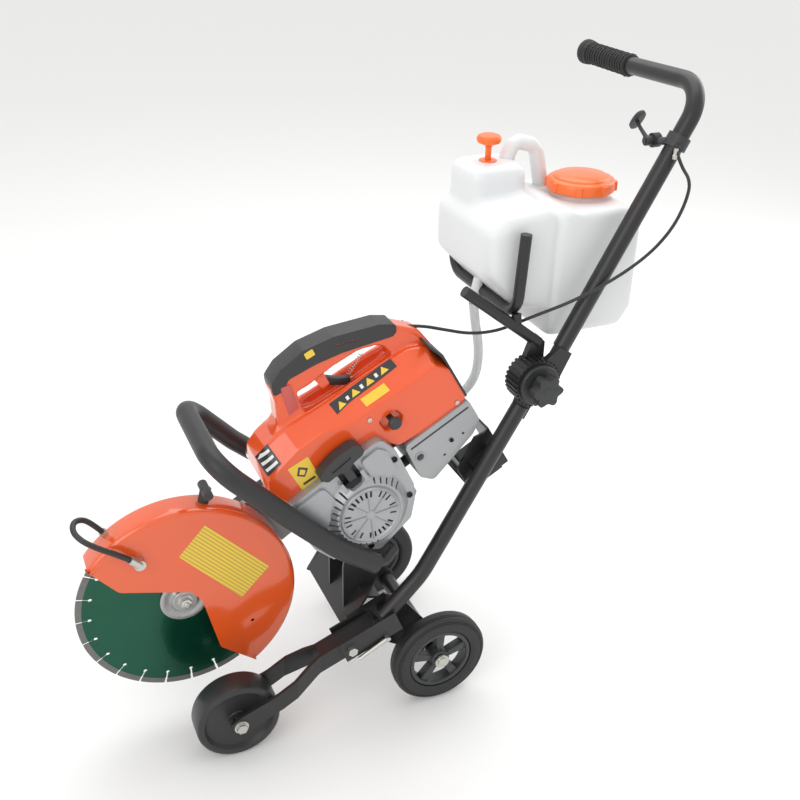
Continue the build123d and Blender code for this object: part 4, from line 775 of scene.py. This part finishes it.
# ---- Labels on the cover ---------------------------------------------------------
# Printed stickers with plain shapes: a square, a striped strip, a narrow strip with four
# triangles and dots, and a small one on the grip.
def add_sticker(name, points, near_y, material, thick=0.5, tilt=None):
    """A thin printed sheet lying on the machine's left side, or tilted by a point shift."""
    form = bmesh.new()
    add_plate(form, soft_corners(points, 1.5, 2), near_y - thick, near_y + 0.6, tilt or saw)
    return settle(name, form, material, "machine", sharp=30)


cover_surface = BVHTree.FromPolygons([vertex.co for vertex in cover_piece.data.vertices],
    [list(face.vertices) for face in cover_piece.data.polygons])


def draped_label(name, corners, material, lift=0.5, across=14, up=6):
    """A printed sheet laid on the cover from its left, its corners given along and up the saw."""
    form = bmesh.new()
    grid = []
    for row in range(up + 1):
        line = []
        for column in range(across + 1):
            left = Vector(corners[0]).lerp(Vector(corners[3]), row / up)
            right = Vector(corners[1]).lerp(Vector(corners[2]), row / up)
            spot = left.lerp(right, column / across)
            found = cover_surface.ray_cast(saw(spot.x, -160, spot.y), Vector((0, 1, 0)))
            place = found[0] + found[1] * lift / 1000 if found[0] else saw(spot.x, -60, spot.y)
            line.append(form.verts.new(place))
        grid.append(line)
    for one, other in zip(grid, grid[1:]):
        for k in range(across):
            form.faces.new([one[k], one[k + 1], other[k + 1], other[k]])
    piece = settle(name, form, material, "machine", sharp=60)
    sheet = piece.modifiers.new("sheet", "SOLIDIFY")
    sheet.thickness = 0.0004
    sheet.offset = 0
    return worked(piece, 60)


add_sticker("square_label", [(268, 107), (302, 105), (306, 151), (270, 154)], -95.4, label_yellow)
add_sticker("square_label_mark", [(275, 134), (284, 124), (296, 134), (285, 146)], -95.8, label_dark)
add_sticker("square_label_core", [(279, 134), (285, 128), (291, 134), (285, 141)], -96.2, label_yellow)
add_sticker("square_label_bars", [(275, 112), (297, 111), (297, 115), (275, 116)], -95.8, label_dark)
draped_label("warning_strip", [(380, 173), (498, 171), (497, 183), (379, 186)], label_dark)
for step in range(4):
    start = 386 + step * 28
    draped_label("warning_mark_%d" % step, [(start, 174.5), (start + 15, 174.2), (start + 8, 182),
        (start + 7, 182.1)], label_yellow, 0.9, 6, 6)
for step in range(3):
    start = 405 + step * 28
    draped_label("warning_dot_%d" % step, [(start, 176), (start + 5, 175.8), (start + 5, 180.6),
        (start, 180.8)], label_white, 0.9, 3, 3)
draped_label("small_label", [(423, 157), (467, 155), (466, 166), (422, 168)], label_yellow)
draped_label("stripe_label", [(240, 160), (268, 166), (268, 190), (241, 184)], label_dark, 0.5, 8, 8)
for step in range(3):
    low = 164 + step * 7
    draped_label("stripe_label_bar_%d" % step, [(243, low), (265, low + 4), (265, low + 7),
        (243, low + 3)], label_white, 0.9, 6, 2)
add_sticker("grip_label", [(391, 265), (406, 264), (407, 275), (392, 276)], -52.5, label_yellow)

# ---- Throttle trigger and choke knob ---------------------------------------------
# A black lever on a pin under the handle, and a pull knob in a pocket of the cover.
def add_tube(mesh, line, widths, sides=28, caps=True):
    """Adds a tube that follows points, keeping its sides from twisting."""
    tangent = (line[1] - line[0]).normalized()
    side = tangent.orthogonal().normalized()
    rings = []
    for k, spot in enumerate(line):
        ahead = line[min(k + 1, len(line) - 1)] - line[max(k - 1, 0)]
        turned = tangent.rotation_difference(ahead.normalized())
        side = (turned @ side).normalized()
        tangent = ahead.normalized()
        other = tangent.cross(side)
        ring = []
        for step in range(sides):
            turn = 2 * math.pi * step / sides
            ring.append(mesh.verts.new(spot + (side * math.cos(turn) + other * math.sin(turn))
                * widths[k]))
        rings.append(ring)
    for one, other in zip(rings, rings[1:]):
        for step in range(sides):
            after = (step + 1) % sides
            mesh.faces.new([one[step], one[after], other[after], other[step]])
    if caps:
        mesh.faces.new(rings[0])
        mesh.faces.new(rings[-1])


softened(settle("trigger_blade", form(add_plate, soft_corners([(385, 213), (398, 213), (414, 196),
    (432, 184), (430, 177), (418, 178), (392, 200)], [4, 4, 8, 3, 3, 6, 5], 3), -38.5, -27.5, saw),
    dark_moulding, "trigger", "throttle_trigger"), 1.6, 3)
spring_low, spring_top = saw(430.5, -33, 187.0), saw(466, -33, 205.5)
spring_way = (spring_top - spring_low).normalized()
spring_side = spring_way.orthogonal().normalized()
spring_across = spring_way.cross(spring_side)
coil_line = []
for step in range(9 * 16 + 1):
    turn = 2 * math.pi * step / 16
    spot = spring_low.lerp(spring_top, step / (9 * 16))
    coil_line.append(spot + (spring_side * math.cos(turn) + spring_across * math.sin(turn)) * 0.0032)
coil_form = bmesh.new()
add_tube(coil_form, coil_line, [0.00055] * len(coil_line), 8)
coil_piece = as_object("trigger_coil", coil_form, zinc, 180)
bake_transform(coil_piece)
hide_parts("trigger_spring")
settle("choke_pull_knob", form(add_turned, [(0, -84), (5, -84), (5, -101), (9.5, -102.5), (11, -105),
    (10.6, -109), (8.6, -111.2), (0, -111.4)], saw(444, 0, 112), 40), dark_moulding, "choke",
    "choke_knob")
screws_at("cover_screw_heads", [saw(326, -52.9, 190), saw(432, -39.4, 181), saw(415, -96.2, 138),
    saw(545, -96.2, 64)], 3.6, 2.4, zinc, "machine")

# ---- Front handle ----------------------------------------------------------------
# One bent tube sleeved in black foam-textured rubber, from the saw's left foot over the
# front to its right foot, with flattened feet bolted on.
def swept_tube(name, points, radii, radius, material, body, *nodes, sides=28, caps=True):
    """A tube through corner points, each corner an arc of its own bend radius, in metres."""
    line = [Vector(points[0])]
    for k in range(1, len(points) - 1):
        corner = Vector(points[k])
        before = Vector(points[k - 1]) - corner
        after = Vector(points[k + 1]) - corner
        bend = radii[k - 1]
        angle = before.angle(after)
        reach = bend / math.tan(angle / 2)
        first = corner + before.normalized() * reach
        last = corner + after.normalized() * reach
        middle_way = (before.normalized() + after.normalized()).normalized()
        centre = corner + middle_way * (bend / math.sin(angle / 2))
        turn = math.pi - angle
        steps = max(4, int(turn * 12))
        start_arm = first - centre
        end_arm = last - centre
        for step in range(steps + 1):
            part = step / steps
            arm = (start_arm * math.sin((1 - part) * turn) + end_arm
                * math.sin(part * turn)) / math.sin(turn)
            line.append(centre + arm)
    line.append(Vector(points[-1]))
    mesh = bmesh.new()
    add_tube(mesh, line, [radius] * len(line), sides, caps)
    return settle(name, mesh, material, body, *nodes, sharp=50)


handle_rubber = finish("handle_rubber", (0.022, 0.022, 0.024), 0.42, grain=1600, bump=0.5, shade=0.7,
    mottle=40)
hoop_points = [saw(290, -136, -72), saw(256, -136, 8), saw(229, -136, 112), saw(194, -136, 262),
    saw(194, 70, 262), saw(220, 70, 150), saw(250, 82, 50), saw(290, 82, -72)]
swept_tube("front_hoop", hoop_points, [0.150, 0.200, 0.046, 0.046, 0.120, 0.120], 0.0165, handle_rubber,
    "machine", "front_handle")
powder_black = finish("powder_black", (0.018, 0.018, 0.019), 0.34, grain=700, bump=0.28, shade=0.75,
    mottle=15, scuff=0.05)
feet = bmesh.new()
foot_line = [saw(282, -136, -53), saw(290, -136, -72), saw(305, -131, -82), saw(330, -118, -84)]
add_tube(feet, foot_line, [0.0095, 0.0095, 0.009, 0.0085], 24)
far_line = [saw(284, 80, -53), saw(290, 82, -72), saw(305, 72, -82), saw(330, 40, -84)]
add_tube(feet, far_line, [0.0095, 0.0095, 0.009, 0.0085], 24)
settle("front_hoop_feet", feet, powder_black, "machine", sharp=50)

# ---- Cart frame and saw clamps ---------------------------------------------------
# Welded plate and channel frame in black powder paint, with a rail on the left that holds
# the fork, two clamp hooks over the saw's feet, and the axle housing across the back.
for node in ("chassis", "saw_clamps", "lower_tube", "upper_tube", "fork_arm"):
    coat_cad(node, powder_black)
for node in ("axle", "cart_bolts", "lock_lever", "front_wheel_bolt"):
    coat_cad(node, zinc)

# ---- Rear wheels -----------------------------------------------------------------
# Solid rubber tyres with four fine grooves near the outer edge, on moulded hubs with five
# wedge-shaped openings and a round cap in the middle.
tyre_black = finish("tyre_black", (0.02, 0.02, 0.021), 0.55, grain=1300, bump=0.45, shade=0.75,
    mottle=25)
hub_black = finish("hub_black", (0.04, 0.042, 0.045), 0.38, grain=1300, bump=0.3, shade=0.8, mottle=25)
axle_x, axle_z = 407.6, -153
for side, body, outer_y, inner_y in (("left", "left_wheel", -149.5, -116.9),
        ("right", "right_wheel", 193.5, 160.9)):
    out = -1 if side == "left" else 1
    wheel_middle = machine(axle_x, 0, axle_z)
    tyre = bmesh.new()
    section = [(59, outer_y - out * 3), (63, outer_y - out * 0.8), (69, outer_y),
        (76, outer_y - out * 0.6)]
    for groove in (77.5, 80.2):
        section += [(groove - 0.5, outer_y - out * (groove - 76) * 0.5), (groove,
            outer_y - out * ((groove - 76) * 0.5 + 1.3)), (groove + 0.6,
            outer_y - out * ((groove - 76) * 0.5 + 1.3)), (groove + 1.1,
            outer_y - out * ((groove - 76) * 0.5 + 0.6))]
    section += [(84.4, outer_y - out * 4.6), (86.2, outer_y - out * 7.0)]
    for groove in (9.0, 13.0):
        section += [(86.8, outer_y - out * groove), (85.6, outer_y - out * (groove + 0.5)),
            (85.6, outer_y - out * (groove + 1.5)), (86.9, outer_y - out * (groove + 2.0))]
    section += [(87, outer_y - out * 20), (86, inner_y + out * 5), (82, inner_y + out * 1.6),
        (74, inner_y), (63, inner_y), (59, inner_y + out * 3)]
    add_turned(tyre, section, wheel_middle, 96)
    settle(side + "_wheel_tyre", tyre, tyre_black, body, side + "_tyre", sharp=24)
    hub = bmesh.new()
    add_turned(hub, [(50, outer_y - out * 5), (51.5, outer_y - out * 3.4), (56.5, outer_y - out * 3.4),
        (58, outer_y - out * 5), (58, inner_y + out * 5), (50, inner_y + out * 5)], wheel_middle, 96)
    add_turned(hub, [(8.6, outer_y - out * 2.6), (14, outer_y - out * 2.2), (16.5, outer_y - out * 3.4),
        (17, outer_y - out * 6), (17, inner_y + out * 2.5), (8.6, inner_y + out * 2.5)], wheel_middle,
        64)
    for step in range(5):
        turn = math.radians(step * 72 + 18)
        along = Vector((math.cos(turn), math.sin(turn)))
        side_way = Vector((-along.y, along.x))
        start, end = 15.5, 51.5
        blade_line = [along * start - side_way * 5.2, along * end - side_way * 8.4,
            along * end + side_way * 8.4, along * start + side_way * 5.2]
        low_y, high_y = sorted((outer_y - out * 6.5, inner_y + out * 10))
        add_plate(hub, [(spot.x, spot.y) for spot in blade_line], low_y, high_y,
            lambda x, y, z: machine(axle_x + x, y, axle_z + z))
    softened(settle(side + "_wheel_centre", hub, hub_black, body, side + "_wheel_hub"), 1.1, 2)
    cap = bmesh.new()
    add_turned(cap, [(0, outer_y - out * 1.5), (7.5, outer_y - out * 1.7), (8.2, outer_y - out * 2.6),
        (8.2, outer_y - out * 6), (0, outer_y - out * 6)], wheel_middle, 40)
    settle(side + "_axle_cap", cap, zinc, body)

# ---- Fork and front wheel --------------------------------------------------------
# A smooth solid roller with rounded shoulders and a recessed face, between two flat bars,
# on a zinc-plated hexagon bolt with washers.
roller_middle = machine(46, 0, -169.4)
roller = bmesh.new()
add_turned(roller, [(8.6, -131.5), (16, -131.5), (17, -130), (52, -130), (54, -131), (58.5, -138.2),
    (61.5, -139.6), (66, -139.2), (69, -137), (70.5, -133), (70.6, -99), (69, -95), (66, -92.9),
    (61.5, -92.4), (58.5, -93.8), (54, -101), (52, -102), (17, -102), (16, -100.5), (8.6, -100.5)],
    roller_middle, 112)
roller_black = finish("roller_black", (0.025, 0.025, 0.026), 0.36, grain=900, bump=0.3, shade=0.75,
    mottle=14, scuff=0.04)
settle("front_roller_wheel", roller, roller_black, "front_roller", "front_wheel", sharp=30)

# ---- Handle tubes ----------------------------------------------------------------
# Bent steel tube in black paint: a lower tube welded to the frame, and an upper tube that
# ends across the machine in a ribbed rubber grip.
grip_rubber = finish("grip_rubber", (0.018, 0.018, 0.019), 0.6, grain=1500, bump=0.5, shade=0.7,
    mottle=30)


def knurl_tree():
    """Small raised blocks in rows round a tube, each row set half a step on."""
    tree = bpy.data.node_groups.new("grip_blocks", "GeometryNodeTree")
    tree.interface.new_socket("Geometry", in_out="INPUT", socket_type="NodeSocketGeometry")
    for name, value, kind in (("Block Length", 0.007, "NodeSocketFloat"),
            ("Block Width", 0.0032, "NodeSocketFloat"), ("Block Height", 0.0016, "NodeSocketFloat"),
            ("Rubber", None, "NodeSocketMaterial")):
        socket = tree.interface.new_socket(name, in_out="INPUT", socket_type=kind)
        if value is not None:
            socket.default_value = value
    tree.interface.new_socket("Geometry", in_out="OUTPUT", socket_type="NodeSocketGeometry")
    feed, result = tree.nodes.new("NodeGroupInput"), tree.nodes.new("NodeGroupOutput")
    block = tree.nodes.new("GeometryNodeMeshCube")
    shape = tree.nodes.new("ShaderNodeCombineXYZ")
    stand = tree.nodes.new("GeometryNodeInstanceOnPoints")
    facing = tree.nodes.new("GeometryNodeInputNormal")
    align = add_node(tree.nodes, "FunctionNodeAlignRotationToVector", axis="Z", pivot_axis="AUTO")
    real = tree.nodes.new("GeometryNodeRealizeInstances")
    paint = tree.nodes.new("GeometryNodeSetMaterial")
    joined = tree.nodes.new("GeometryNodeJoinGeometry")
    links = tree.links
    wire(links, (feed, "Block Length", shape, "X"), (feed, "Block Width", shape, "Y"),
        (feed, "Block Height", shape, "Z"), (shape, "Vector", block, "Size"),
        (feed, "Geometry", stand, "Points"), (block, "Mesh", stand, "Instance"),
        (facing, "Normal", align, "Vector"), (align, "Rotation", stand, "Rotation"),
        (feed, "Geometry", joined, "Geometry"), (stand, "Instances", joined, "Geometry"),
        (joined, "Geometry", real, "Geometry"), (real, "Geometry", paint, "Geometry"),
        (feed, "Rubber", paint, "Material"), (paint, "Geometry", result, "Geometry"))
    return tree


grip_low, grip_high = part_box("handle_grip")
grip_centre = (grip_low + grip_high) / 2
half_length = (grip_high.y - grip_low.y) / 2 * 1000
grip_core = bmesh.new()
rows, around, grip_radius = 15, 16, 17.2
rings = []
for row in range(rows + 1):
    along = -half_length + 3 + (2 * half_length - 22) * row / rows
    ring = []
    for step in range(around):
        turn = 2 * math.pi * (step + 0.5 * (row % 2)) / around
        ring.append(grip_core.verts.new(grip_centre + Vector((grip_radius * math.cos(turn), along,
            grip_radius * math.sin(turn))) / 1000))
    rings.append(ring)
for one, other in zip(rings, rings[1:]):
    for step in range(around):
        after = (step + 1) % around
        grip_core.faces.new([one[step], one[after], other[after], other[step]])
grip_core.faces.new(rings[0])
grip_core.faces.new(rings[-1])
bar_grip = as_object("bar_grip", grip_core)
blocks = bar_grip.modifiers.new("blocks", "NODES")
blocks.node_group = knurl_tree()
for item in blocks.node_group.interface.items_tree:
    if item.name == "Rubber" and item.in_out == "INPUT":
        blocks[item.identifier] = grip_rubber
worked(bar_grip, 30)
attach(bar_grip, "handlebar")
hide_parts("handle_grip")
grip_ends = bmesh.new()
add_turned(grip_ends, [(0, -half_length), (13, -half_length), (17, -half_length + 1.2),
    (18.4, -half_length + 3.5), (18.4, -half_length + 5), (0, -half_length + 5)], grip_centre, 56)
add_turned(grip_ends, [(14.2, half_length - 22), (18.3, half_length - 22), (18.3, half_length - 12),
    (20.4, half_length - 9), (20.8, half_length - 2), (19.6, half_length - 0.2),
    (14.2, half_length - 0.2)], grip_centre, 56)
settle("bar_grip_ends", grip_ends, grip_rubber, "handlebar", sharp=30)

# ---- Throttle lever --------------------------------------------------------------
# A clamp round the upper tube carries a small pivot block, a rounded thumb paddle on a
# thin stalk, and the cable's barrel adjuster.
coat_cad("lever_clamp", dark_moulding)
lean_back = Matrix.Rotation(math.radians(36), 3, "X")
paddle_centre = machine(748.75, -55, 740)
paddle = bmesh.new()
paddle_line = []
for step in range(28):
    turn = 2 * math.pi * step / 28
    wide, tall = 9.6, 18.4
    paddle_line.append((wide * math.copysign(abs(math.cos(turn)) ** 0.75, math.cos(turn)),
        tall * math.copysign(abs(math.sin(turn)) ** 0.85, math.sin(turn))))


def paddle_place(x, y, z):
    return paddle_centre + lean_back @ Vector((x, y, z)) / 1000


add_plate(paddle, paddle_line, -2.6, 2.6, paddle_place)
softened(settle("thumb_paddle", paddle, dark_moulding, "thumb", "thumb_lever"), 1.8, 3)
stalk = bmesh.new()
add_tube(stalk, [machine(748.75, -89, 716), machine(748.75, -78, 722), machine(748.75, -64, 730),
    machine(748.75, -55, 738)], [0.0042, 0.0034, 0.003, 0.003], 16)
add_turned(stalk, [(0, 742.0), (7.4, 742.0), (7.4, 755.5), (0, 755.5)], machine(0, -89, 716), 32, "X")
softened(settle("thumb_stalk", stalk, dark_moulding, "thumb"), 0.6, 2)
settle("cable_adjuster", form(add_turned, [(0, 0), (4.4, 0), (4.4, 6), (3.4, 6.6), (3.4, 16), (0, 16)],
    machine(761.75, -141, 700), 24, "Z"), zinc, "handlebar")

# ---- Tilting joint and star knob -------------------------------------------------
# Toothed discs of black moulding under one six-lobed knob; the lower tube, the upper tube
# and the tank's cradle each carry one.
joint_middle = machine(563, 0, 356)
knob = bmesh.new()
lobes = []
for step in range(72):
    turn = 2 * math.pi * step / 72
    reach = 23.2 + 3.4 * math.cos(6 * turn)
    lobes.append((reach * math.cos(turn), reach * math.sin(turn)))
add_plate(knob, lobes, -168.2, -150.5, lambda x, y, z: machine(563 + x, y, 356 + z))
star_piece = settle("star_knob_head", knob, dark_moulding, "joint_knob", "star_knob")
softened(star_piece, 3.2, 4)
plate_ring = bmesh.new()
add_turned(plate_ring, [(0, -134.8), (33.6, -134.8), (34, -136), (34, -141.2), (32.8, -142.5),
    (16, -142.6), (14, -151), (0, -151)], joint_middle, 64)
add_turned(plate_ring, [(0, -168), (9, -168), (9, -168.3), (8, -169.2), (0, -169.6)], joint_middle, 40)
settle("star_knob_plate", plate_ring, dark_moulding, "joint_knob")

# ---- Tank cradle -----------------------------------------------------------------
# A black bent tube passes under the water tank with an upright at each end. A flat saddle
# takes the tank's front, and an arm joins it to the toothed joint.
coat_cad("tank_cradle", powder_black)

# ---- Water tank ------------------------------------------------------------------
# White blow-moulded tank: a rounded front lobe, a groove where the cradle's near upright
# lies, a deep main chamber, a tower for the pump, a neck and a carrying arch.
tank_white = finish("tank_white", (0.76, 0.775, 0.78), 0.35, grain=500, bump=0.06, shade=0.95, mottle=8)
tank_shine = tank_white.node_tree.nodes["Principled BSDF"]
tank_shine.inputs["Subsurface Weight"].default_value = 0.12
tank_shine.inputs["Subsurface Radius"].default_value = (0.02, 0.02, 0.02)
tank_shine.inputs["Subsurface Scale"].default_value = 0.3


tank_form = bmesh.new()
side_line = soft_corners([(612, 404.5), (746, 404.5), (766, 434), (766, 582), (744, 611.5),
    (650, 611.5), (616, 622), (606, 560), (606, 410)], [14, 20, 16, 26, 26, 20, 12, 4, 4], 4)
rings = []
for y_at, inset in ((-83.5, 13), (-82, 7), (-76, 2.2), (-66, 0.2), (98, 0.2), (108, 2.2), (114, 7),
        (115.6, 13)):
    middle_x, middle_z = 690, 508
    ring = []
    for x, z in side_line:
        pull = inset
        ring.append(machine(x - math.copysign(pull, x - middle_x) * (abs(x - middle_x) > 20), y_at,
            z - math.copysign(pull, z - middle_z) * (abs(z - middle_z) > 20)))
    rings.append(ring)
add_loft(tank_form, rings)
tank_piece = settle("tank_shell", tank_form, tank_white, "tank", "water_tank")
lobe = bmesh.new()
lobe_line = soft_corners([(491, 520), (548, 462), (618, 446), (618, 606), (600, 624), (520, 617),
    (491, 592)], [20, 26, 6, 6, 20, 26, 24], 5)
rings = []
for y_at, inset in ((-80, 16), (-77, 8), (-70, 2.5), (-60, 0.3), (96, 0.3), (106, 2.5), (112, 8),
        (114.5, 16)):
    ring = []
    for x, z in lobe_line:
        ring.append(machine(x + (555 - x) / 64 * inset, y_at, z + (540 - z) / 80 * inset))
    rings.append(ring)
add_loft(lobe, rings)
carved(tank_piece, lobe, "UNION", sharp=60)
tower = bmesh.new()
tower_line = soft_corners([(507, 14), (609, 14), (609, 111), (507, 111)], 28, 7)
rings = []
for height, inset in ((590, 0), (646, 0), (657, 3), (662.5, 9), (663.8, 16)):
    rings.append([machine(x + (558 - x) / 51 * inset, y + (62 - y) / 49 * inset, height) for x,
        y in tower_line])
add_loft(tower, rings)
carved(tank_piece, tower, "UNION", sharp=60)
neck = bmesh.new()
neck_middle = machine(700, 8, 0)
add_turned(neck, [(0, 600), (50, 600), (46, 616), (45, 618.6), (0, 618.6)], neck_middle, 64, "Z")
carved(tank_piece, neck, "UNION", sharp=60)
groove = bmesh.new()
groove_points = [machine(543, -98, 640), machine(543, -98, 594), machine(536, -97, 470),
    machine(536, -60, 452), machine(536, 128, 452)]
add_tube(groove, groove_points, [0.0155] * len(groove_points), 20)
carved(tank_piece, groove, sharp=60)
moulded(tank_piece, 3.0, 12, 80)
pipe_points = [machine(590, 70, 636), machine(596, 70, 668), machine(603, 70, 682),
    machine(614, 70, 687), machine(640, 71, 680), machine(650, 71.5, 668), machine(656, 72, 644),
    machine(664, 72, 606)]
settle("tank_carry_arch", form(add_tube, pipe_points, [0.0127] * len(pipe_points), 26), tank_white,
    "tank", sharp=60)
settle("tank_outlet", form(add_tube, [machine(523.1, 22, 440.4), machine(525, 22, 452),
    machine(531, 22, 484)], [0.0092, 0.0092, 0.0085], 24), tank_white, "tank", sharp=50)

# ---- Tank cap and pump -----------------------------------------------------------
# Orange screw cap with a domed top and gripping lugs, and an orange pump knob on a rod
# with a collar at the top of the tower.
tank_orange = finish("tank_orange", (0.93, 0.16, 0.02), 0.3, grain=700, bump=0.08, shade=0.9, mottle=12,
    coat=0.2)
cap_form = bmesh.new()
add_turned(cap_form, [(0, 619.8), (54.5, 619.8), (55.6, 621), (55.6, 632), (54, 636), (51, 637.6),
    (46, 638.2), (45, 640.5), (41, 642.6), (20, 643.6), (0, 643.8)], neck_middle, 96, "Z")
for step in range(8):
    turn = math.radians(step * 45 + 10)
    along = Vector((math.cos(turn), math.sin(turn)))
    side_way = Vector((-along.y, along.x))
    lug = [along * 52 - side_way * 6, along * 58.2 - side_way * 4.6, along * 58.2 + side_way * 4.6,
        along * 52 + side_way * 6]
    low = [cap_form.verts.new(neck_middle + Vector((spot.x, spot.y, 620.4)) / 1000) for spot in lug]
    high = [cap_form.verts.new(neck_middle + Vector((spot.x, spot.y, 635.2)) / 1000) for spot in lug]
    for k in range(4):
        cap_form.faces.new([low[k], low[(k + 1) % 4], high[(k + 1) % 4], high[k]])
    cap_form.faces.new(low)
    cap_form.faces.new(high)
softened(settle("tank_lid", cap_form, tank_orange, "tank_lid", "tank_cap"), 1.2, 3)
pump_middle = machine(556, 62, 0)
settle("pump_knob", form(add_turned, [(0, 590), (4.9, 590), (4.9, 684), (7, 688), (12, 690.5),
    (18, 693), (19.8, 697), (19.8, 700.5), (17.5, 704), (12, 706.3), (0, 706.9)], pump_middle, 56, "Z"),
    tank_orange, "pump", "pump_plunger", sharp=40)
settle("pump_collar", form(add_turned, [(5.4, 663), (14, 663), (14.5, 664), (14.2, 665.2), (13, 665.7),
    (5.4, 665.8)], pump_middle, 48, "Z"), tank_orange, "tank", sharp=40)

# ---- Hoses and throttle cable ----------------------------------------------------
# A black rubber hose over the guard's nose, a clear plastic hose from the tank to the saw,
# and a thin black cable from the thumb lever to the handle.
def cord_route(name, points):
    """A smooth open curve through control points, read back as the points it follows."""
    curve = bpy.data.curves.new(name + "_route", "CURVE")
    curve.dimensions = "3D"
    curve.resolution_u = 12
    spline = curve.splines.new("NURBS")
    spline.points.add(len(points) - 1)
    for spot, point in zip(spline.points, points):
        spot.co = (*machine(*point), 1)
    spline.order_u = 3
    spline.use_endpoint_u = True
    holder = bpy.data.objects.new(name + "_route", curve)
    bpy.context.scene.collection.objects.link(holder)
    depsgraph = bpy.context.evaluated_depsgraph_get()
    line = bpy.data.meshes.new_from_object(holder.evaluated_get(depsgraph))
    route = [vertex.co.copy() for vertex in line.vertices]
    bpy.data.objects.remove(holder)
    return route


def soft_tube(name, points, radius, material, bodies, node):
    """A flexible cord as a mesh tube on its route, with its true length and diameter."""
    route = cord_route(name, points)
    mesh = bmesh.new()
    add_tube(mesh, route, [radius / 1000] * len(route), 20)
    piece = as_object(name, mesh, material, 60)
    if len(bodies) == 1:
        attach(piece, bodies[0])
    else:
        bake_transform(piece)
    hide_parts(node)
    return piece


hose_rubber = finish("hose_rubber", (0.025, 0.025, 0.027), 0.4, grain=1500, bump=0.3, shade=0.75,
    mottle=30)
soft_tube("guard_water_hose", [(-84, -40, 129), (-104, -43, 147), (-127, -44, 164), (-148, -37, 178),
    (-159, -20, 187), (-155, -2, 193), (-140, 8, 188), (-126, 11, 173), (-114, 11, 156.5)], 4.6,
    hose_rubber, ["guard"], "guard_hose")
soft_tube("throttle_cable_sleeve", [(761.75, -141, 714), (766.75, -150, 692), (794, -146, 664),
    (797, -138, 628), (782, -136, 590), (750, -138, 558), (708, -140, 533), (668, -139, 514),
    (636, -132, 497), (606, -119, 479), (578, -98, 460), (550, -82, 443), (516, -72, 429),
    (474, -62, 427), (434, -50, 436), (398, -38, 444), (370, -33, 445)], 2.6, hose_rubber,
    ["handlebar", "machine"], "throttle_cable")
clear_plastic = finish("clear_hose", (0.72, 0.74, 0.74), 0.22, grain=900, bump=0.03, shade=0.92,
    mottle=15)
clear_plastic.node_tree.nodes["Principled BSDF"].inputs["Transmission Weight"].default_value = 0.55
soft_tube("supply_hose", [(523.1, 22, 440.4), (528, 22, 404), (537, 24, 368), (542, 27, 330),
    (540, 32, 294), (526, 42, 262), (500, 56, 240), (466, 68, 232), (434, 68, 233),
    (424.4, 60.5, 241.3), (418.4, 47.5, 239.3)], 8, clear_plastic, ["tank", "machine"], "water_hose")

# ---- Floor, light and camera -----------------------------------------------------
# A plain pale floor under a large soft light from above and behind, a smaller fill from
# the left, and a pale sky all round.
floor_sheet = finish("studio_floor", (0.86, 0.86, 0.85), 0.55, grain=300, bump=0.02, shade=0.985,
    mottle=2)
floor_mesh = bmesh.new()
floor_low = cad_box[0][2]
floor_corners = [(-60, -60), (60, -60), (60, 60), (-60, 60)]
floor_mesh.faces.new([floor_mesh.verts.new((x, y, floor_low)) for x, y in floor_corners])
floor_piece = as_object("floor", floor_mesh, floor_sheet)


def soft_light(name, size, power, place, target, colour=(1, 1, 1)):
    """A square area light aimed at a point."""
    lamp = bpy.data.lights.new(name, "AREA")
    lamp.size = size
    lamp.energy = power
    lamp.color = colour
    holder = bpy.data.objects.new(name, lamp)
    holder.location = place
    holder.rotation_euler = (Vector(place) - Vector(target)).to_track_quat("Z", "Y").to_euler()
    bpy.context.scene.collection.objects.link(holder)


machine_middle = (0.1, 0.0, 0.4)
soft_light("overhead", 2.6, 34, (0.5, 0.8, 2.9), machine_middle)
soft_light("left_fill", 2.0, 22, (-2.2, -1.6, 1.9), machine_middle)
soft_light("right_rim", 1.6, 14, (2.4, 0.4, 1.7), machine_middle)
sky = bpy.data.worlds.new("studio")
sky.use_nodes = True
sky.node_tree.nodes["Background"].inputs["Color"].default_value = (1, 1, 1, 1)
sky.node_tree.nodes["Background"].inputs["Strength"].default_value = 0.95
bpy.context.scene.world = sky
bpy.context.scene.view_settings.view_transform = "Standard"
lens = bpy.data.cameras.new("camera")
lens.sensor_width = 36
lens.lens = 47.2
lens.clip_end = 50
eye = bpy.data.objects.new("camera", lens)
azimuth, elevation, roll = math.radians(-24.279), math.radians(28.370), math.radians(1.288)
back = Vector((math.sin(azimuth) * math.cos(elevation), -math.cos(azimuth) * math.cos(elevation),
    math.sin(elevation)))
right = Vector((math.cos(azimuth), math.sin(azimuth), 0))
above = back.cross(right)
rolled_right = right * math.cos(roll) + above * math.sin(roll)
rolled_above = above * math.cos(roll) - right * math.sin(roll)
facing = Matrix((rolled_right, rolled_above, back)).transposed().to_4x4()
eye.matrix_world = Matrix.Translation(machine(-243.64, -1391.46, 1119.44)) @ facing
bpy.context.scene.collection.objects.link(eye)
bpy.context.scene.camera = eye
